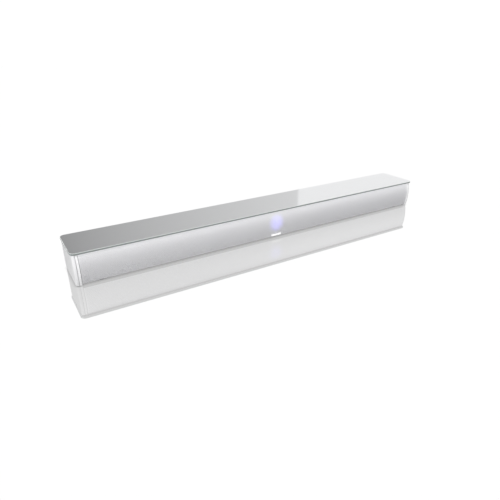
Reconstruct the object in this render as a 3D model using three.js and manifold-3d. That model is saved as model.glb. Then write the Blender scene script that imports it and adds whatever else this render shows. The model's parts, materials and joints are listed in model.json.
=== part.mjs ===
// A slim active soundbar: a box of boards behind a bowed perforated grille, closed by two end caps
// and a glass top, with four small woofers, two tweeters, a display, and a connector bay behind.
// Millimetres. +X to the right seen from the front, the front faces -Y, +Z up, floor at Z = 0.

import * as THREE from 'three';
import { mergeVertices } from 'three/addons/utils/BufferGeometryUtils.js';
import Module from 'manifold-3d';

const wasm = await Module();
wasm.setup();

// ---------------------------------------------------------------- driving dimensions

const WIDTH = 900; // over the glass
const DEPTH = 103; // over the glass
const HEIGHT = 69; // floor to the top of the glass

const SEAM = 0.3; // open seam between neighbouring pieces
const BOND = 0.1; // glue line or contact gap

const GLASS_T = 4;
const GLASS_CORNER_R = 10;
const GLASS_ARRIS = 0.4; // ground edge of the glass
const TAPE_T = 1;
const TAPE_INSET = 12;
const TAPE_W = 16;

const CAP_T = 6; // an end cap's thickness, which its rounded front edge takes whole
const CAP_REAR_R = 3;
const SIDE_OVERHANG = 2; // the glass stands this far past each end cap
const SKIRT_CLEARANCE = 1; // the end caps stop this far above the floor
const FRONT_INSET = 4.3; // the front's upper edge lies this far behind the glass's edge
const FRONT_BULGE = 4.2; // the bowed front's rise in the middle of its height
const TRIM_W = 4.5;
const TRIM_SHADOW_GAP = 0.5; // between a trim strip and the grille
const GRILLE_T = 0.8;
const GRILLE_LIFT = 5; // the grille's lower edge above the floor
const GRILLE_FRAME_BACK_INSET = 8.5; // the frame's flat back behind the glass's front edge

const BOARD_T = 6; // top and bottom boards
const BAFFLE_T = 8;
const REAR_T = 8;
const REAR_INSET = 1.5; // the rear board's face in front of the glass's rear edge

const FOOT_R = 7;
const FOOT_H = 3;
const FOOT_CHAMFER = 0.8;
const FOOT_FROM_END = 42;
const FOOT_FROM_EDGE = 16;

const DRIVER_EDGE = 62; // an end cap's inner face to the outer woofer's axis
const DRIVER_PITCH = 65; // woofer to tweeter to woofer
const FLANGE_T = 3;
const WOOFER_FLANGE_R = 25.5;
const WOOFER_BASKET_R = 23;
const WOOFER_OPENING_R = 22;
const CONE_R = 17.5;
const CONE_T = 0.8;
const COIL_R = 7.9;
const MAGNET_R = 18;
const WOOFER_DEPTH = 26;
const TOP_PLATE_Y = 14; // depths behind the baffle's front; what stands in front of it is negative
const POLE_Y = 12;
const SEAT_Y = -1.2;
const SEAT_W = 1.6;
const CONE_RIM_Y = -2.4;
const CONE_NECK_Y = 6;
const COIL_END_Y = 16.5;
const COIL_WALL = 0.7;
const COIL_GAP_INNER = 0.6; // running gap to the pole
const COIL_GAP_OUTER = 1;
const CONE_TRAVEL = 3; // each way
const COIL_END_CLEARANCE = 0.5; // left under the coil at its deepest
const SURROUND_T = 0.6;
const SURROUND_ROLL = 1.4; // half the roll's width
const TWEETER_FLANGE_R = 18;
const TWEETER_BODY_R = 15;
const DOME_R = 12.5;
const TWEETER_DEPTH = 14;
const DOME_RISE = 2.2;
const DOME_T = 0.5;
const DOME_EDGE_Y = -0.6;
const DOME_FORMER = 5; // the coil former's length behind the dome's edge
const DOME_GAP = 0.6; // running gap round the former
const DOME_TRAVEL = 0.3; // each way
const DRIVER_HOLE_CLEARANCE = 0.5;
const WINDOW_CLEARANCE = 0.8; // grille frame window around a driver's flange

const PORT_FROM_WOOFER = 45; // inner woofer's axis to the reflex port's axis
const PORT_BORE_R = 13;
const PORT_WALL = 2;
const PORT_LENGTH = 50;
const PORT_FLANGE_R = 18;
const PORT_FLANGE_T = 1.2;
const PORT_FLARE_R = 3;

const BAY_W = 224; // notch in the rear and bottom boards
const BAY_DEPTH = 25;
const BAY_TOP = 45; // above the floor
const TRAY_T = 2;

// Sockets: x is the place across the bay. The inlet and the rocker have a rise above the bay's
// middle, and the input board sets the height of the others.
const IO_BOARD_Z = 17;
const INLET = { x: 86, rise: 0, w: 20, h: 12, depth: 15, flangeW: 30, flangeH: 18, flangeT: 2 };
const INLET_WELL = { w: 16.4, h: 8.4, waistH: 6.8, depth: 13, pinR: 1.2, pinPitch: 8.6, pinBack: 2 };
const HDMI = { x: 14, w: 15, h: 6.4, depth: 13, openW: 13.6, openH: 4.6, openDepth: 11.5 };
const HDMI_TONGUE = { w: 10.6, t: 0.9, back: 1.5 };
const OPTICAL = { x: -18, w: 13.6, h: 10.4, depth: 13, openW: 8.6, openH: 7.4, openDepth: 9 };
const AUX = { x: -44, bodyW: 11, bodyH: 10, barrelR: 4, boreR: 1.8, proud: 2.5, boreDepth: 12 };
const RCA = { x: -74, bodyW: 13, bodyH: 12, barrelR: 4.15, boreR: 1.6, proud: 10, boreDepth: 9 };
const JACK_BODY_DEPTH = 9;
const SOCKET_PROUD = 1; // a flat socket's face behind the tray wall's face

// The power rocker: half is its half-length, face its face's height over the pivot, keel its depth
// under it, and dip the hollow in the middle of its face.
const ROCKER = { x: 54, rise: 0, w: 10, half: 8.3, face: 4, dip: 1.2, keel: 5, tilt: 8 };
const ROCKER_PIN_R = 1.2;
const ROCKER_PIN_LENGTH = 1;
const ROCKER_CLEARANCE = 0.4;
const ROCKER_WALL = 1.8;
const ROCKER_BEZEL_T = 1.8;
const ROCKER_BEZEL_RIM = 2.5;
const ROCKER_BODY_DEPTH = 13;

const KEY_R = 4;
const KEY_BORE_CLEARANCE = 0.3;
const KEY_PITCH = 14;
const KEY_PROUD = 1;
const KEY_CHAMFER = 0.4;
const KEY_TRAVEL = 0.8;
const KEY_FLANGE_R = 5.2;
const KEY_FLANGE_T = 1;
const KEY_STEM_R = 1.8;
const KEY_STEM_END = 4; // the stem's end in front of the rear board's inner face
const KEY_SWITCH_T = 1.5;
const KEY_SWITCH_W = 6;
const KEY_BOARD_H = 11;
const KEY_BOARD_MARGIN = 11; // past the outer keys' axes

const PCB_T = 1.6;
const BOARD_LIFT = 5; // a circuit board's underside above the bottom board
const BOARD_FROM_BAFFLE = 7;
const AMPLIFIER = { from: -120, to: -10, depth: 28 };
const SUPPLY = { from: 16, to: 124, depth: 34 };
const IO_BOARD_DEPTH = 14;
const HEAT_SINK = { x: -78, w: 60, depth: 20, h: 22, base: 4, fins: 9 };
const TRANSFORMER = { x: 70, w: 34, depth: 14, h: 26, windingW: 20, windingDepth: 22, yoke: 4 };
const TALL_PARTS_FORWARD = 2.4; // from the middle of the room between baffle and mains inlet
const POST_R = 2; // posts that carry the circuit boards
const LAP = 0.5; // how far pieces of one solid run into each other
const PLATE_W = 36;
const PLATE_H = 44;
const PLATE_CORNER_R = 4;
const KEYHOLE_R = 4.75;
const KEYHOLE_SLOT_HALF = 2.4;
const KEYHOLE_SLOT_RISE = 12; // from the round hole's centre to the slot's end arc centre
const KEYHOLE_POCKET_DEPTH = 6;
const KEYHOLE_POCKET_MARGIN = 1.5;

const DISPLAY_W = 34;
const DISPLAY_H = 14;
const DISPLAY_RISE = 4.6; // the display's middle above the bow's
const DISPLAY_PROUD = 2; // its face in front of the baffle
const DISPLAY_BOARD_GAP = 3; // baffle to board
const DISPLAY_BOARD_H = 30;
const RECEIVER_R = 2.5;
const RECEIVER_HOLE_CLEARANCE = 1;
const RECEIVER_BACK = 3; // its lens's centre behind the baffle's front
const RECEIVER_FROM_DISPLAY = 9; // from the display's end
const RIBBON = { from: -34, to: -22, t: 0.4, bend: 2, lead: 1.5, drop: 10 };
const BADGE_W = 27;
const BADGE_H = 4.2;
const BADGE_T = 0.8;
const BADGE_CORNER_R = 0.8;
const BADGE_Z = 8.6;

const ROUND_STEPS = 20; // facets round a port, a foot or a driver's hole
const DRIVER_STEPS = 12; // facets round a driver's own parts
const KEYHOLE_STEPS = 8; // facets round a quarter-turn or more of a plate's outline
const KEY_STEPS = 12; // facets round a key or a small jack
const POST_STEPS = 10;
const ARC_STEPS = 4; // facets in a small rolled or domed outline
const BOW_STEPS = 14; // facets up the bowed front

// ---------------------------------------------------------------- places worked out from them

const glassFront = -DEPTH / 2;
const glassBottom = HEIGHT - GLASS_T;
const bodyTop = glassBottom - TAPE_T - 2 * BOND;
const capOuter = WIDTH / 2 - SIDE_OVERHANG;
const capInner = capOuter - CAP_T;
const boardEnd = capInner - SEAM;
const trimInner = boardEnd - TRIM_W;
const grilleEnd = trimInner - TRIM_SHADOW_GAP;
const rearFace = DEPTH / 2 - REAR_INSET;
const rearInner = rearFace - REAR_T;
const floorTop = FOOT_H + BOARD_T; // upper face of the bottom board
const ceiling = bodyTop - BOARD_T; // lower face of the top board
const middleZ = (floorTop + ceiling) / 2;

const bowHalf = (bodyTop - SKIRT_CLEARANCE) / 2;
const bowRadius = (bowHalf ** 2 + FRONT_BULGE ** 2) / (2 * FRONT_BULGE);
const bowZ = SKIRT_CLEARANCE + bowHalf;
const bowY = glassFront + FRONT_INSET - FRONT_BULGE + bowRadius;

const frameBack = glassFront + GRILLE_FRAME_BACK_INSET;
const baffleFront = frameBack + SEAM;
const baffleBack = baffleFront + BAFFLE_T;
const outerWooferX = capInner - DRIVER_EDGE;
const tweeterX = outerWooferX - DRIVER_PITCH;
const innerWooferX = tweeterX - DRIVER_PITCH;
const portX = innerWooferX - PORT_FROM_WOOFER;
const portOuterR = PORT_BORE_R + PORT_WALL;

const bayFront = rearFace - BAY_DEPTH;
const wallRear = bayFront + TRAY_T; // the tray wall's face that the sockets look out of
const keyZ = (BAY_TOP + ceiling) / 2;

// ---------------------------------------------------------------- making solids

function finish(color, roughness, metalness) {
  return () => new THREE.MeshStandardMaterial({ color, roughness, metalness });
}

const silverLacquer = finish(0xd9d9dd, 0.35, 0.2);
const silverGlass = finish(0xb9bdbf, 0.05, 0.6);
const brightTrim = finish(0xe4e4e8, 0.25, 0.8);
const silverMesh = finish(0xc6c6ca, 0.4, 0.9);
const blackPlastic = finish(0x1b1c1e, 0.5, 0);
const greyPlastic = finish(0x55585c, 0.5, 0);
const whiteEnamel = finish(0xf4f4f4, 0.3, 0);
const rubber = finish(0x141414, 0.9, 0);
const foam = finish(0x303030, 1, 0);
const steel = finish(0xa8abb0, 0.35, 1);
const darkSteel = finish(0x3a3c40, 0.45, 0.8);
const aluminium = finish(0xb4b8bc, 0.4, 1);
const paperCone = finish(0x2b2c2f, 0.85, 0);
const silkDome = finish(0x1d1d22, 0.7, 0);
const circuitGreen = finish(0x1f5a36, 0.6, 0);
const coreLaminate = finish(0x6d5a3a, 0.6, 0.3);
const blueLens = finish(0x3c48c8, 0.15, 0);

/** A three.js geometry as a manifold solid, its vertices shared and its empty faces dropped. */
function solidOf(geometry) {
  const bare = geometry.clone();
  bare.deleteAttribute('normal');
  bare.deleteAttribute('uv');
  const welded = mergeVertices(bare, 1e-4);
  const corners = welded.index.array;
  const triVerts = [];
  for (let i = 0; i < corners.length; i += 3) {
    const [a, b, c] = corners.slice(i, i + 3);
    if (a !== b && b !== c && c !== a) triVerts.push(a, b, c);
  }
  const vertProperties = welded.attributes.position.array;
  return new wasm.Manifold(
    new wasm.Mesh({ numProp: 3, vertProperties, triVerts: Uint32Array.from(triVerts) }),
  );
}

function geometryOf(solid) {
  const { vertProperties, triVerts } = solid.getMesh();
  const geometry = new THREE.BufferGeometry();
  geometry.setAttribute('position', new THREE.BufferAttribute(vertProperties, 3));
  geometry.setIndex(new THREE.BufferAttribute(triVerts, 1));
  geometry.computeVertexNormals();
  return geometry;
}

/** The first geometry with all the others cut away. */
function cut(base, ...tools) {
  return geometryOf(tools.reduce((solid, tool) => solid.subtract(solidOf(tool)), solidOf(base)));
}

function join(...pieces) {
  return geometryOf(pieces.map(solidOf).reduce((whole, piece) => whole.add(piece)));
}

function common(...pieces) {
  return geometryOf(pieces.map(solidOf).reduce((whole, piece) => whole.intersect(piece)));
}

/** A box between two places on each axis. */
function block([x0, x1], [y0, y1], [z0, z1]) {
  const geometry = new THREE.BoxGeometry(x1 - x0, y1 - y0, z1 - z0);
  return geometry.translate((x0 + x1) / 2, (y0 + y1) / 2, (z0 + z1) / 2);
}

/** A span of the given width about a middle. */
const about = (middle, width) => [middle - width / 2, middle + width / 2];

/** A closed (radius, y) outline turned about the Y axis. */
function turnedAboutY(outline, steps = ROUND_STEPS) {
  return new THREE.LatheGeometry(outline.map(([r, y]) => new THREE.Vector2(r, y)), steps);
}

/** The same, about the Z axis: the outline's second value is a height. */
function turnedAboutZ(outline, steps = ROUND_STEPS) {
  return turnedAboutY(outline, steps).rotateX(Math.PI / 2);
}

/** A plain rod along Y. */
function rodAlongY(radius, [y0, y1], x = 0, z = 0, steps = ROUND_STEPS) {
  return new THREE.CylinderGeometry(radius, radius, y1 - y0, steps).translate(x, (y0 + y1) / 2, z);
}

function extrude(shape, depth, curveSegments) {
  return new THREE.ExtrudeGeometry(shape, { depth, bevelEnabled: false, curveSegments });
}

/** An outline in the YZ plane carried along X. */
function extrudeAlongX(shape, [x0, x1], curveSegments = 8) {
  const turn = new THREE.Matrix4().makeBasis(
    new THREE.Vector3(0, 1, 0),
    new THREE.Vector3(0, 0, 1),
    new THREE.Vector3(1, 0, 0),
  );
  return extrude(shape, x1 - x0, curveSegments).applyMatrix4(turn).translate(x0, 0, 0);
}

/** An outline in the XZ plane carried along Y. */
function extrudeAlongY(shape, [y0, y1], curveSegments = 8) {
  return extrude(shape, y1 - y0, curveSegments).rotateX(Math.PI / 2).translate(0, y1, 0);
}

/** Draws a plain rectangle about the origin in a shape or a hole's path. */
function rectangle(path, width, height) {
  path.moveTo(-width / 2, -height / 2);
  path.lineTo(width / 2, -height / 2);
  path.lineTo(width / 2, height / 2);
  path.lineTo(-width / 2, height / 2);
  path.closePath();
  return path;
}

/** A rectangle about the origin with rounded corners. */
function roundedRectangle(width, height, radius) {
  const x = width / 2;
  const y = height / 2;
  const shape = new THREE.Shape();
  shape.absarc(x - radius, y - radius, radius, 0, Math.PI / 2);
  shape.absarc(-x + radius, y - radius, radius, Math.PI / 2, Math.PI);
  shape.absarc(-x + radius, -y + radius, radius, Math.PI, 1.5 * Math.PI);
  shape.absarc(x - radius, -y + radius, radius, 1.5 * Math.PI, 2 * Math.PI);
  shape.closePath();
  return shape;
}

const soundbar = new THREE.Group();
const left = -1;
const right = 1;
const sides = [['left', left], ['right', right]];

/** Adds a named piece, with a material of its own, at a place. */
function add(name, geometry, material, [x, y, z] = [0, 0, 0], parent = soundbar) {
  const mesh = new THREE.Mesh(geometry, material());
  mesh.name = name;
  mesh.position.set(x, y, z);
  parent.add(mesh);
  return mesh;
}

/** The same two X values on either side of the middle, in rising order. */
function spanOn(side, near, far) {
  return side === right ? [near, far] : [-far, -near];
}

// ---------------------------------------------------------------- the bowed front

/** Angle about the bow's centre of a height on its curve. */
function bowAngle(z, radius) {
  return Math.PI - Math.asin((z - bowZ) / radius);
}

/** Y of the bowed front at a height, a given depth under its surface. */
function bowFront(z, depth = 0) {
  const radius = bowRadius - depth;
  return bowY - Math.sqrt(radius ** 2 - (z - bowZ) ** 2);
}

/** A slab with a bowed front and a flat back, seen from its end. */
function bowedSlab([z0, z1], back, depth = 0) {
  const radius = bowRadius - depth;
  const shape = new THREE.Shape();
  shape.moveTo(back, z0);
  shape.lineTo(back, z1);
  shape.absarc(bowY, bowZ, radius, bowAngle(z1, radius), bowAngle(z0, radius));
  shape.closePath();
  return shape;
}

/** A sheet that follows the bow. */
function bowedSheet([z0, z1], thickness) {
  const inner = bowRadius - thickness;
  const shape = new THREE.Shape();
  shape.absarc(bowY, bowZ, bowRadius, bowAngle(z1, bowRadius), bowAngle(z0, bowRadius));
  shape.absarc(bowY, bowZ, inner, bowAngle(z0, inner), bowAngle(z1, inner), true);
  shape.closePath();
  return shape;
}

const grilleSpan = [GRILLE_LIFT, bodyTop - SEAM];

function addGrille() {
  const sheet = extrudeAlongX(bowedSheet(grilleSpan, GRILLE_T), about(0, 2 * grilleEnd), BOW_STEPS);
  add('front_grille', sheet, silverMesh);

  const frameSpan = [grilleSpan[0] + SEAM, grilleSpan[1] - SEAM];
  const slab = bowedSlab(frameSpan, frameBack, GRILLE_T + SEAM);
  const frame = extrudeAlongX(slab, about(0, 2 * (grilleEnd - SEAM)), BOW_STEPS / 2);
  const through = [glassFront, frameBack + 1];
  const windows = sides.flatMap(([, side]) => [
    rodAlongY(WOOFER_FLANGE_R + WINDOW_CLEARANCE, through, side * outerWooferX, middleZ),
    rodAlongY(TWEETER_FLANGE_R + WINDOW_CLEARANCE, through, side * tweeterX, middleZ),
    rodAlongY(WOOFER_FLANGE_R + WINDOW_CLEARANCE, through, side * innerWooferX, middleZ),
  ]);
  const displayWindow = block(about(0, 2 * DISPLAY_W), through, about(displayZ, 2 * DISPLAY_H));
  add('grille_frame', cut(frame, ...windows, displayWindow), blackPlastic);
}

/** A blank nameplate on the lower part of the grille, in line with the bow where it sits. */
function addBadge() {
  const plate = extrude(roundedRectangle(BADGE_W, BADGE_H, BADGE_CORNER_R), BADGE_T, ARC_STEPS);
  plate.rotateX(Math.PI / 2);
  const lean = Math.asin((BADGE_Z - bowZ) / bowRadius);
  const badge = add('badge_plate', plate, whiteEnamel, [0, bowFront(BADGE_Z) - SEAM, BADGE_Z]);
  badge.rotation.x = -lean;
}

// ---------------------------------------------------------------- glass, caps and boards

function addGlass() {
  const inset = 2 * GLASS_ARRIS;
  const outline = roundedRectangle(WIDTH - inset, DEPTH - inset, GLASS_CORNER_R - GLASS_ARRIS);
  const pane = new THREE.ExtrudeGeometry(outline, {
    depth: GLASS_T - inset,
    bevelThickness: GLASS_ARRIS,
    bevelSize: GLASS_ARRIS,
    bevelSegments: 1,
    curveSegments: 6,
  });
  add('glass_top', pane, silverGlass, [0, 0, glassBottom + GLASS_ARRIS]);

  const band = new THREE.Shape();
  rectangle(band, WIDTH - 2 * TAPE_INSET, DEPTH - 2 * TAPE_INSET);
  const inner = 2 * (TAPE_INSET + TAPE_W);
  band.holes.push(rectangle(new THREE.Path(), WIDTH - inner, DEPTH - inner));
  add('glass_tape', extrude(band, TAPE_T), foam, [0, 0, bodyTop + BOND]);
}

/** Points of an arc, from one angle to another. */
function arcPoints(x, y, radius, from, to, steps = 6) {
  return Array.from({ length: steps + 1 }, (_, i) => {
    const angle = from + ((to - from) * i) / steps;
    return [x + radius * Math.cos(angle), y + radius * Math.sin(angle)];
  });
}

/** An end cap: a plate whose front edge is turned to the bow and rounded over its whole thickness. */
function endCap(side) {
  const edge = arcPoints(bowRadius - CAP_T, 0, CAP_T, 0, Math.PI / 2, 6);
  const bowStepAngle = (2 * Math.asin(bowHalf / bowRadius)) / BOW_STEPS;
  const disc = turnedAboutY([[0, 0], ...edge, [0, CAP_T]], Math.round((2 * Math.PI) / bowStepAngle));
  disc.rotateZ((-side * Math.PI) / 2).translate(side * capInner, bowY, bowZ);

  const rounding = arcPoints(
    capOuter - CAP_REAR_R, rearFace - CAP_REAR_R, CAP_REAR_R, 0, Math.PI / 2,
  );
  const plan = [[capInner, glassFront], [capOuter, glassFront], ...rounding, [capInner, rearFace]];
  const outline = new THREE.Shape(plan.map(([x, y]) => new THREE.Vector2(side * x, y)));
  const column = extrude(outline, bodyTop - SKIRT_CLEARANCE).translate(0, 0, SKIRT_CLEARANCE);
  return common(disc, column);
}

function addEnds() {
  for (const [name, side] of sides) {
    add(`end_cap_${name}`, endCap(side), silverLacquer);
    const strip = bowedSlab([SKIRT_CLEARANCE, bodyTop], frameBack);
    const span = spanOn(side, trimInner, boardEnd);
    add(`trim_strip_${name}`, extrudeAlongX(strip, span, BOW_STEPS), brightTrim);
  }
}

const boardSpan = about(0, 2 * boardEnd);
const boardDepth = [baffleBack + BOND, rearFace];
const bayDepth = [bayFront - SEAM, rearFace + 1];

function addBoards() {
  add('top_board', block(boardSpan, boardDepth, [ceiling, bodyTop]), greyPlastic);
  const base = block(boardSpan, boardDepth, [FOOT_H, floorTop]);
  const notch = block(about(0, BAY_W), bayDepth, [0, floorTop + 1]);
  add('bottom_board', cut(base, notch), greyPlastic);
}

/** The recess behind a keyhole plate, which the screw head slides up in. */
function keyholePocket(side) {
  const half = KEYHOLE_R + KEYHOLE_POCKET_MARGIN;
  const depth = [rearFace - KEYHOLE_POCKET_DEPTH, rearFace + 1];
  const height = [keyholeZ - half, keyholeZ + KEYHOLE_SLOT_RISE + half];
  return block(about(side * tweeterX, 2 * half), depth, height);
}

function addRearBoard() {
  const panel = block(boardSpan, [rearInner, rearFace], [floorTop + BOND, ceiling - BOND]);
  const notch = block(about(0, BAY_W), bayDepth, [0, BAY_TOP]);
  const through = [rearInner - 1, rearFace + 1];
  const ports = sides.map(([, side]) => rodAlongY(portOuterR + SEAM, through, side * portX, middleZ));
  const keyBores = keyPlaces.map((x) => rodAlongY(KEY_R + KEY_BORE_CLEARANCE, through, x, keyZ, KEY_STEPS));
  const pockets = sides.map(([, side]) => keyholePocket(side));
  add('rear_board', cut(panel, notch, ...ports, ...keyBores, ...pockets), greyPlastic);
}

function addBaffle() {
  const panel = block(boardSpan, [baffleFront, baffleBack], [FOOT_H, bodyTop]);
  const through = [baffleFront - 1, baffleBack + 1];
  const woofer = WOOFER_BASKET_R + DRIVER_HOLE_CLEARANCE;
  const tweeter = TWEETER_BODY_R + DRIVER_HOLE_CLEARANCE;
  const holes = sides.flatMap(([, side]) => [
    rodAlongY(woofer, through, side * outerWooferX, middleZ),
    rodAlongY(tweeter, through, side * tweeterX, middleZ),
    rodAlongY(woofer, through, side * innerWooferX, middleZ),
  ]);
  const display = block(about(0, DISPLAY_W + 2 * SEAM), through, about(displayZ, DISPLAY_H + 2 * SEAM));
  const sensor = rodAlongY(RECEIVER_R + RECEIVER_HOLE_CLEARANCE, through, receiverX, displayZ);
  add('front_baffle', cut(panel, ...holes, display, sensor), greyPlastic);
}

function addFeet() {
  const top = FOOT_H - BOND;
  const rim = FOOT_R - FOOT_CHAMFER;
  const outline = [[0, 0], [rim, 0], [FOOT_R, FOOT_CHAMFER], [FOOT_R, top], [0, top]];
  for (const [sideName, side] of sides) {
    for (const [endName, end] of [['front', -1], ['rear', 1]]) {
      const place = [side * (capInner - FOOT_FROM_END), end * (DEPTH / 2 - FOOT_FROM_EDGE), 0];
      add(`foot_${endName}_${sideName}`, turnedAboutZ(outline), rubber, place);
    }
  }
}

// ---------------------------------------------------------------- drivers

/** Basket, magnet and pole of a woofer: y runs back from the baffle's front. */
function wooferFrame() {
  const gapInner = COIL_R - COIL_WALL - COIL_GAP_INNER;
  const gapOuter = COIL_R + COIL_GAP_OUTER;
  const gapEnd = COIL_END_Y + CONE_TRAVEL + COIL_END_CLEARANCE;
  const seatR = WOOFER_OPENING_R - SEAT_W;
  const basketWall = 1.5;
  return turnedAboutY([
    [0, POLE_Y], [gapInner, POLE_Y], [gapInner, gapEnd], [gapOuter, gapEnd],
    [gapOuter, TOP_PLATE_Y], [MAGNET_R - basketWall, TOP_PLATE_Y], [seatR - 0.4, 5],
    [seatR, SEAT_Y], [WOOFER_OPENING_R, SEAT_Y], [WOOFER_OPENING_R, -FLANGE_T],
    [WOOFER_FLANGE_R, -FLANGE_T], [WOOFER_FLANGE_R, -BOND], [WOOFER_BASKET_R, -BOND],
    [WOOFER_BASKET_R - 0.4, 6], [MAGNET_R, TOP_PLATE_Y], [MAGNET_R, WOOFER_DEPTH],
    [0, WOOFER_DEPTH],
  ], DRIVER_STEPS);
}

/** Cone, dust cap and voice coil, which move together. */
function wooferCone() {
  const coilInner = COIL_R - COIL_WALL;
  const capRise = 3.1; // the dust cap's crown in front of its edge
  const capEdge = CONE_NECK_Y - 1.4;
  const crown = capEdge - capRise;
  const shoulder = [COIL_R / 2, crown + capRise / 4];
  return turnedAboutY([
    [0, crown], shoulder, [COIL_R - 0.3, capEdge], [CONE_R, CONE_RIM_Y],
    [CONE_R, CONE_RIM_Y + CONE_T], [COIL_R + 0.3, CONE_NECK_Y], [COIL_R, CONE_NECK_Y + 0.4],
    [COIL_R, COIL_END_Y], [coilInner, COIL_END_Y], [coilInner, CONE_NECK_Y + 0.2],
    [shoulder[0], shoulder[1] + CONE_T], [0, crown + CONE_T],
  ], DRIVER_STEPS);
}

/** Half-roll rubber ring between the cone's rim and the frame. */
function surround() {
  const inner = CONE_R + SEAM;
  const outer = WOOFER_OPENING_R - SEAM;
  const rollR = outer - SEAT_W + SEAM - SURROUND_ROLL;
  const seat = SEAT_Y - BOND;
  const lip = seat - SURROUND_T;
  const over = arcPoints(rollR, lip, SURROUND_ROLL, -Math.PI, 0, ARC_STEPS);
  const under = arcPoints(rollR, seat, SURROUND_ROLL - SURROUND_T, 0, -Math.PI, ARC_STEPS);
  return turnedAboutY([
    [inner, seat], [inner, lip], ...over, [outer, lip], [outer, seat], ...under, [inner, seat],
  ], DRIVER_STEPS);
}

function tweeterBody() {
  const poleY = DOME_EDGE_Y + 1.6;
  const poleR = DOME_R - DOME_T - DOME_GAP;
  const grooveR = DOME_R + DOME_GAP;
  const grooveEnd = DOME_EDGE_Y + DOME_FORMER + DOME_TRAVEL + 1;
  return turnedAboutY([
    [0, poleY], [poleR, poleY], [poleR, grooveEnd], [grooveR, grooveEnd],
    [grooveR, -FLANGE_T / 2], [DOME_R + 2, -FLANGE_T], [TWEETER_FLANGE_R, -FLANGE_T],
    [TWEETER_FLANGE_R, -BOND], [TWEETER_BODY_R, -BOND], [TWEETER_BODY_R, TWEETER_DEPTH],
    [0, TWEETER_DEPTH],
  ], DRIVER_STEPS);
}

/** Soft dome with the coil former that carries it. */
function tweeterDome() {
  const sphere = (DOME_R ** 2 + DOME_RISE ** 2) / (2 * DOME_RISE);
  const centreY = DOME_EDGE_Y - DOME_RISE + sphere;
  const domeY = (r, radius) => centreY - Math.sqrt(radius ** 2 - r ** 2);
  const outer = Array.from({ length: ARC_STEPS + 1 }, (_, i) => {
    const r = (DOME_R * i) / ARC_STEPS;
    return [r, domeY(r, sphere)];
  });
  const innerR = DOME_R - DOME_T;
  const inner = Array.from({ length: ARC_STEPS + 1 }, (_, i) => {
    const r = innerR * (1 - i / ARC_STEPS);
    return [r, domeY(r, sphere - DOME_T)];
  });
  const end = DOME_EDGE_Y + DOME_FORMER;
  const rim = [[DOME_R, end], [innerR, end]];
  return turnedAboutY([...outer, ...rim, ...inner], DRIVER_STEPS);
}

function addDrivers() {
  for (const [sideName, side] of sides) {
    for (const [place, x] of [['outer', outerWooferX], ['inner', innerWooferX]]) {
      const driver = new THREE.Group();
      driver.position.set(side * x, baffleFront, middleZ);
      soundbar.add(driver);
      const tail = `${sideName}_${place}`;
      add(`woofer_frame_${tail}`, wooferFrame(), darkSteel, undefined, driver);
      add(`woofer_cone_${tail}`, wooferCone(), paperCone, undefined, driver);
      add(`woofer_surround_${tail}`, surround(), rubber, undefined, driver);
    }
    const tweeter = new THREE.Group();
    tweeter.position.set(side * tweeterX, baffleFront, middleZ);
    soundbar.add(tweeter);
    add(`tweeter_body_${sideName}`, tweeterBody(), blackPlastic, undefined, tweeter);
    add(`tweeter_dome_${sideName}`, tweeterDome(), silkDome, undefined, tweeter);
  }
}

/** Reflex port: a tube through the rear board with a flared mouth and a flange on its face. */
function reflexPort() {
  const end = rearFace + BOND + PORT_FLANGE_T;
  const start = end - PORT_LENGTH;
  const flareFrom = [PORT_BORE_R + PORT_FLARE_R, end - PORT_FLARE_R];
  const flare = arcPoints(...flareFrom, PORT_FLARE_R, Math.PI, Math.PI / 2, ARC_STEPS);
  return turnedAboutY([
    [PORT_BORE_R, start], [portOuterR, start], [portOuterR, rearFace + BOND],
    [PORT_FLANGE_R, rearFace + BOND], [PORT_FLANGE_R, end], ...flare.reverse(), [PORT_BORE_R, start],
  ]);
}

function addPorts() {
  for (const [name, side] of sides) {
    add(`reflex_port_${name}`, reflexPort(), blackPlastic, [side * portX, 0, middleZ]);
  }
}

// ---------------------------------------------------------------- keyhole plates

const plateZ = middleZ;
const keyholeZ = plateZ - KEYHOLE_SLOT_RISE / 2;

/** The round entry and the narrow slot above it, as one opening. */
function keyhole() {
  const spread = Math.asin(KEYHOLE_SLOT_HALF / KEYHOLE_R);
  const low = -KEYHOLE_SLOT_RISE / 2;
  const path = new THREE.Path();
  path.absarc(0, low, KEYHOLE_R, Math.PI / 2 - spread, Math.PI / 2 + spread, true);
  path.absarc(0, -low, KEYHOLE_SLOT_HALF, Math.PI, 0, true);
  path.closePath();
  return path;
}

function addWallPlates() {
  for (const [name, side] of sides) {
    const outline = roundedRectangle(PLATE_W, PLATE_H, PLATE_CORNER_R);
    outline.holes.push(keyhole());
    const plate = extrudeAlongY(outline, [rearFace + BOND, rearFace + REAR_INSET], KEYHOLE_STEPS);
    add(`wall_plate_${name}`, plate, steel, [side * tweeterX, 0, plateZ]);
  }
}

// ---------------------------------------------------------------- connector bay

const ioTop = IO_BOARD_Z + PCB_T;
const bayMiddle = (FOOT_H + BAY_TOP) / 2;
const inletZ = bayMiddle + INLET.rise;
const rockerZ = bayMiddle + ROCKER.rise;
const tiltRadians = (ROCKER.tilt * Math.PI) / 180;
const rockerReach = ROCKER.half * Math.cos(tiltRadians) + ROCKER.face * Math.sin(tiltRadians);
const rockerWellHalf = rockerReach + ROCKER_CLEARANCE;
const rockerWellW = ROCKER.w + 2 * ROCKER_CLEARANCE;
const rockerPivotY = wallRear + BOND - ROCKER.keel / 2;

/** A hole in the tray's wall, a seam wider all round than what passes through it. */
function wallHole(x, z, width, height) {
  const through = [bayFront - 1, wallRear + 1];
  return block(about(x, width + 2 * SEAM), through, about(z, height + 2 * SEAM));
}

const socketZ = (height) => ioTop + BOND + height / 2;

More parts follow.
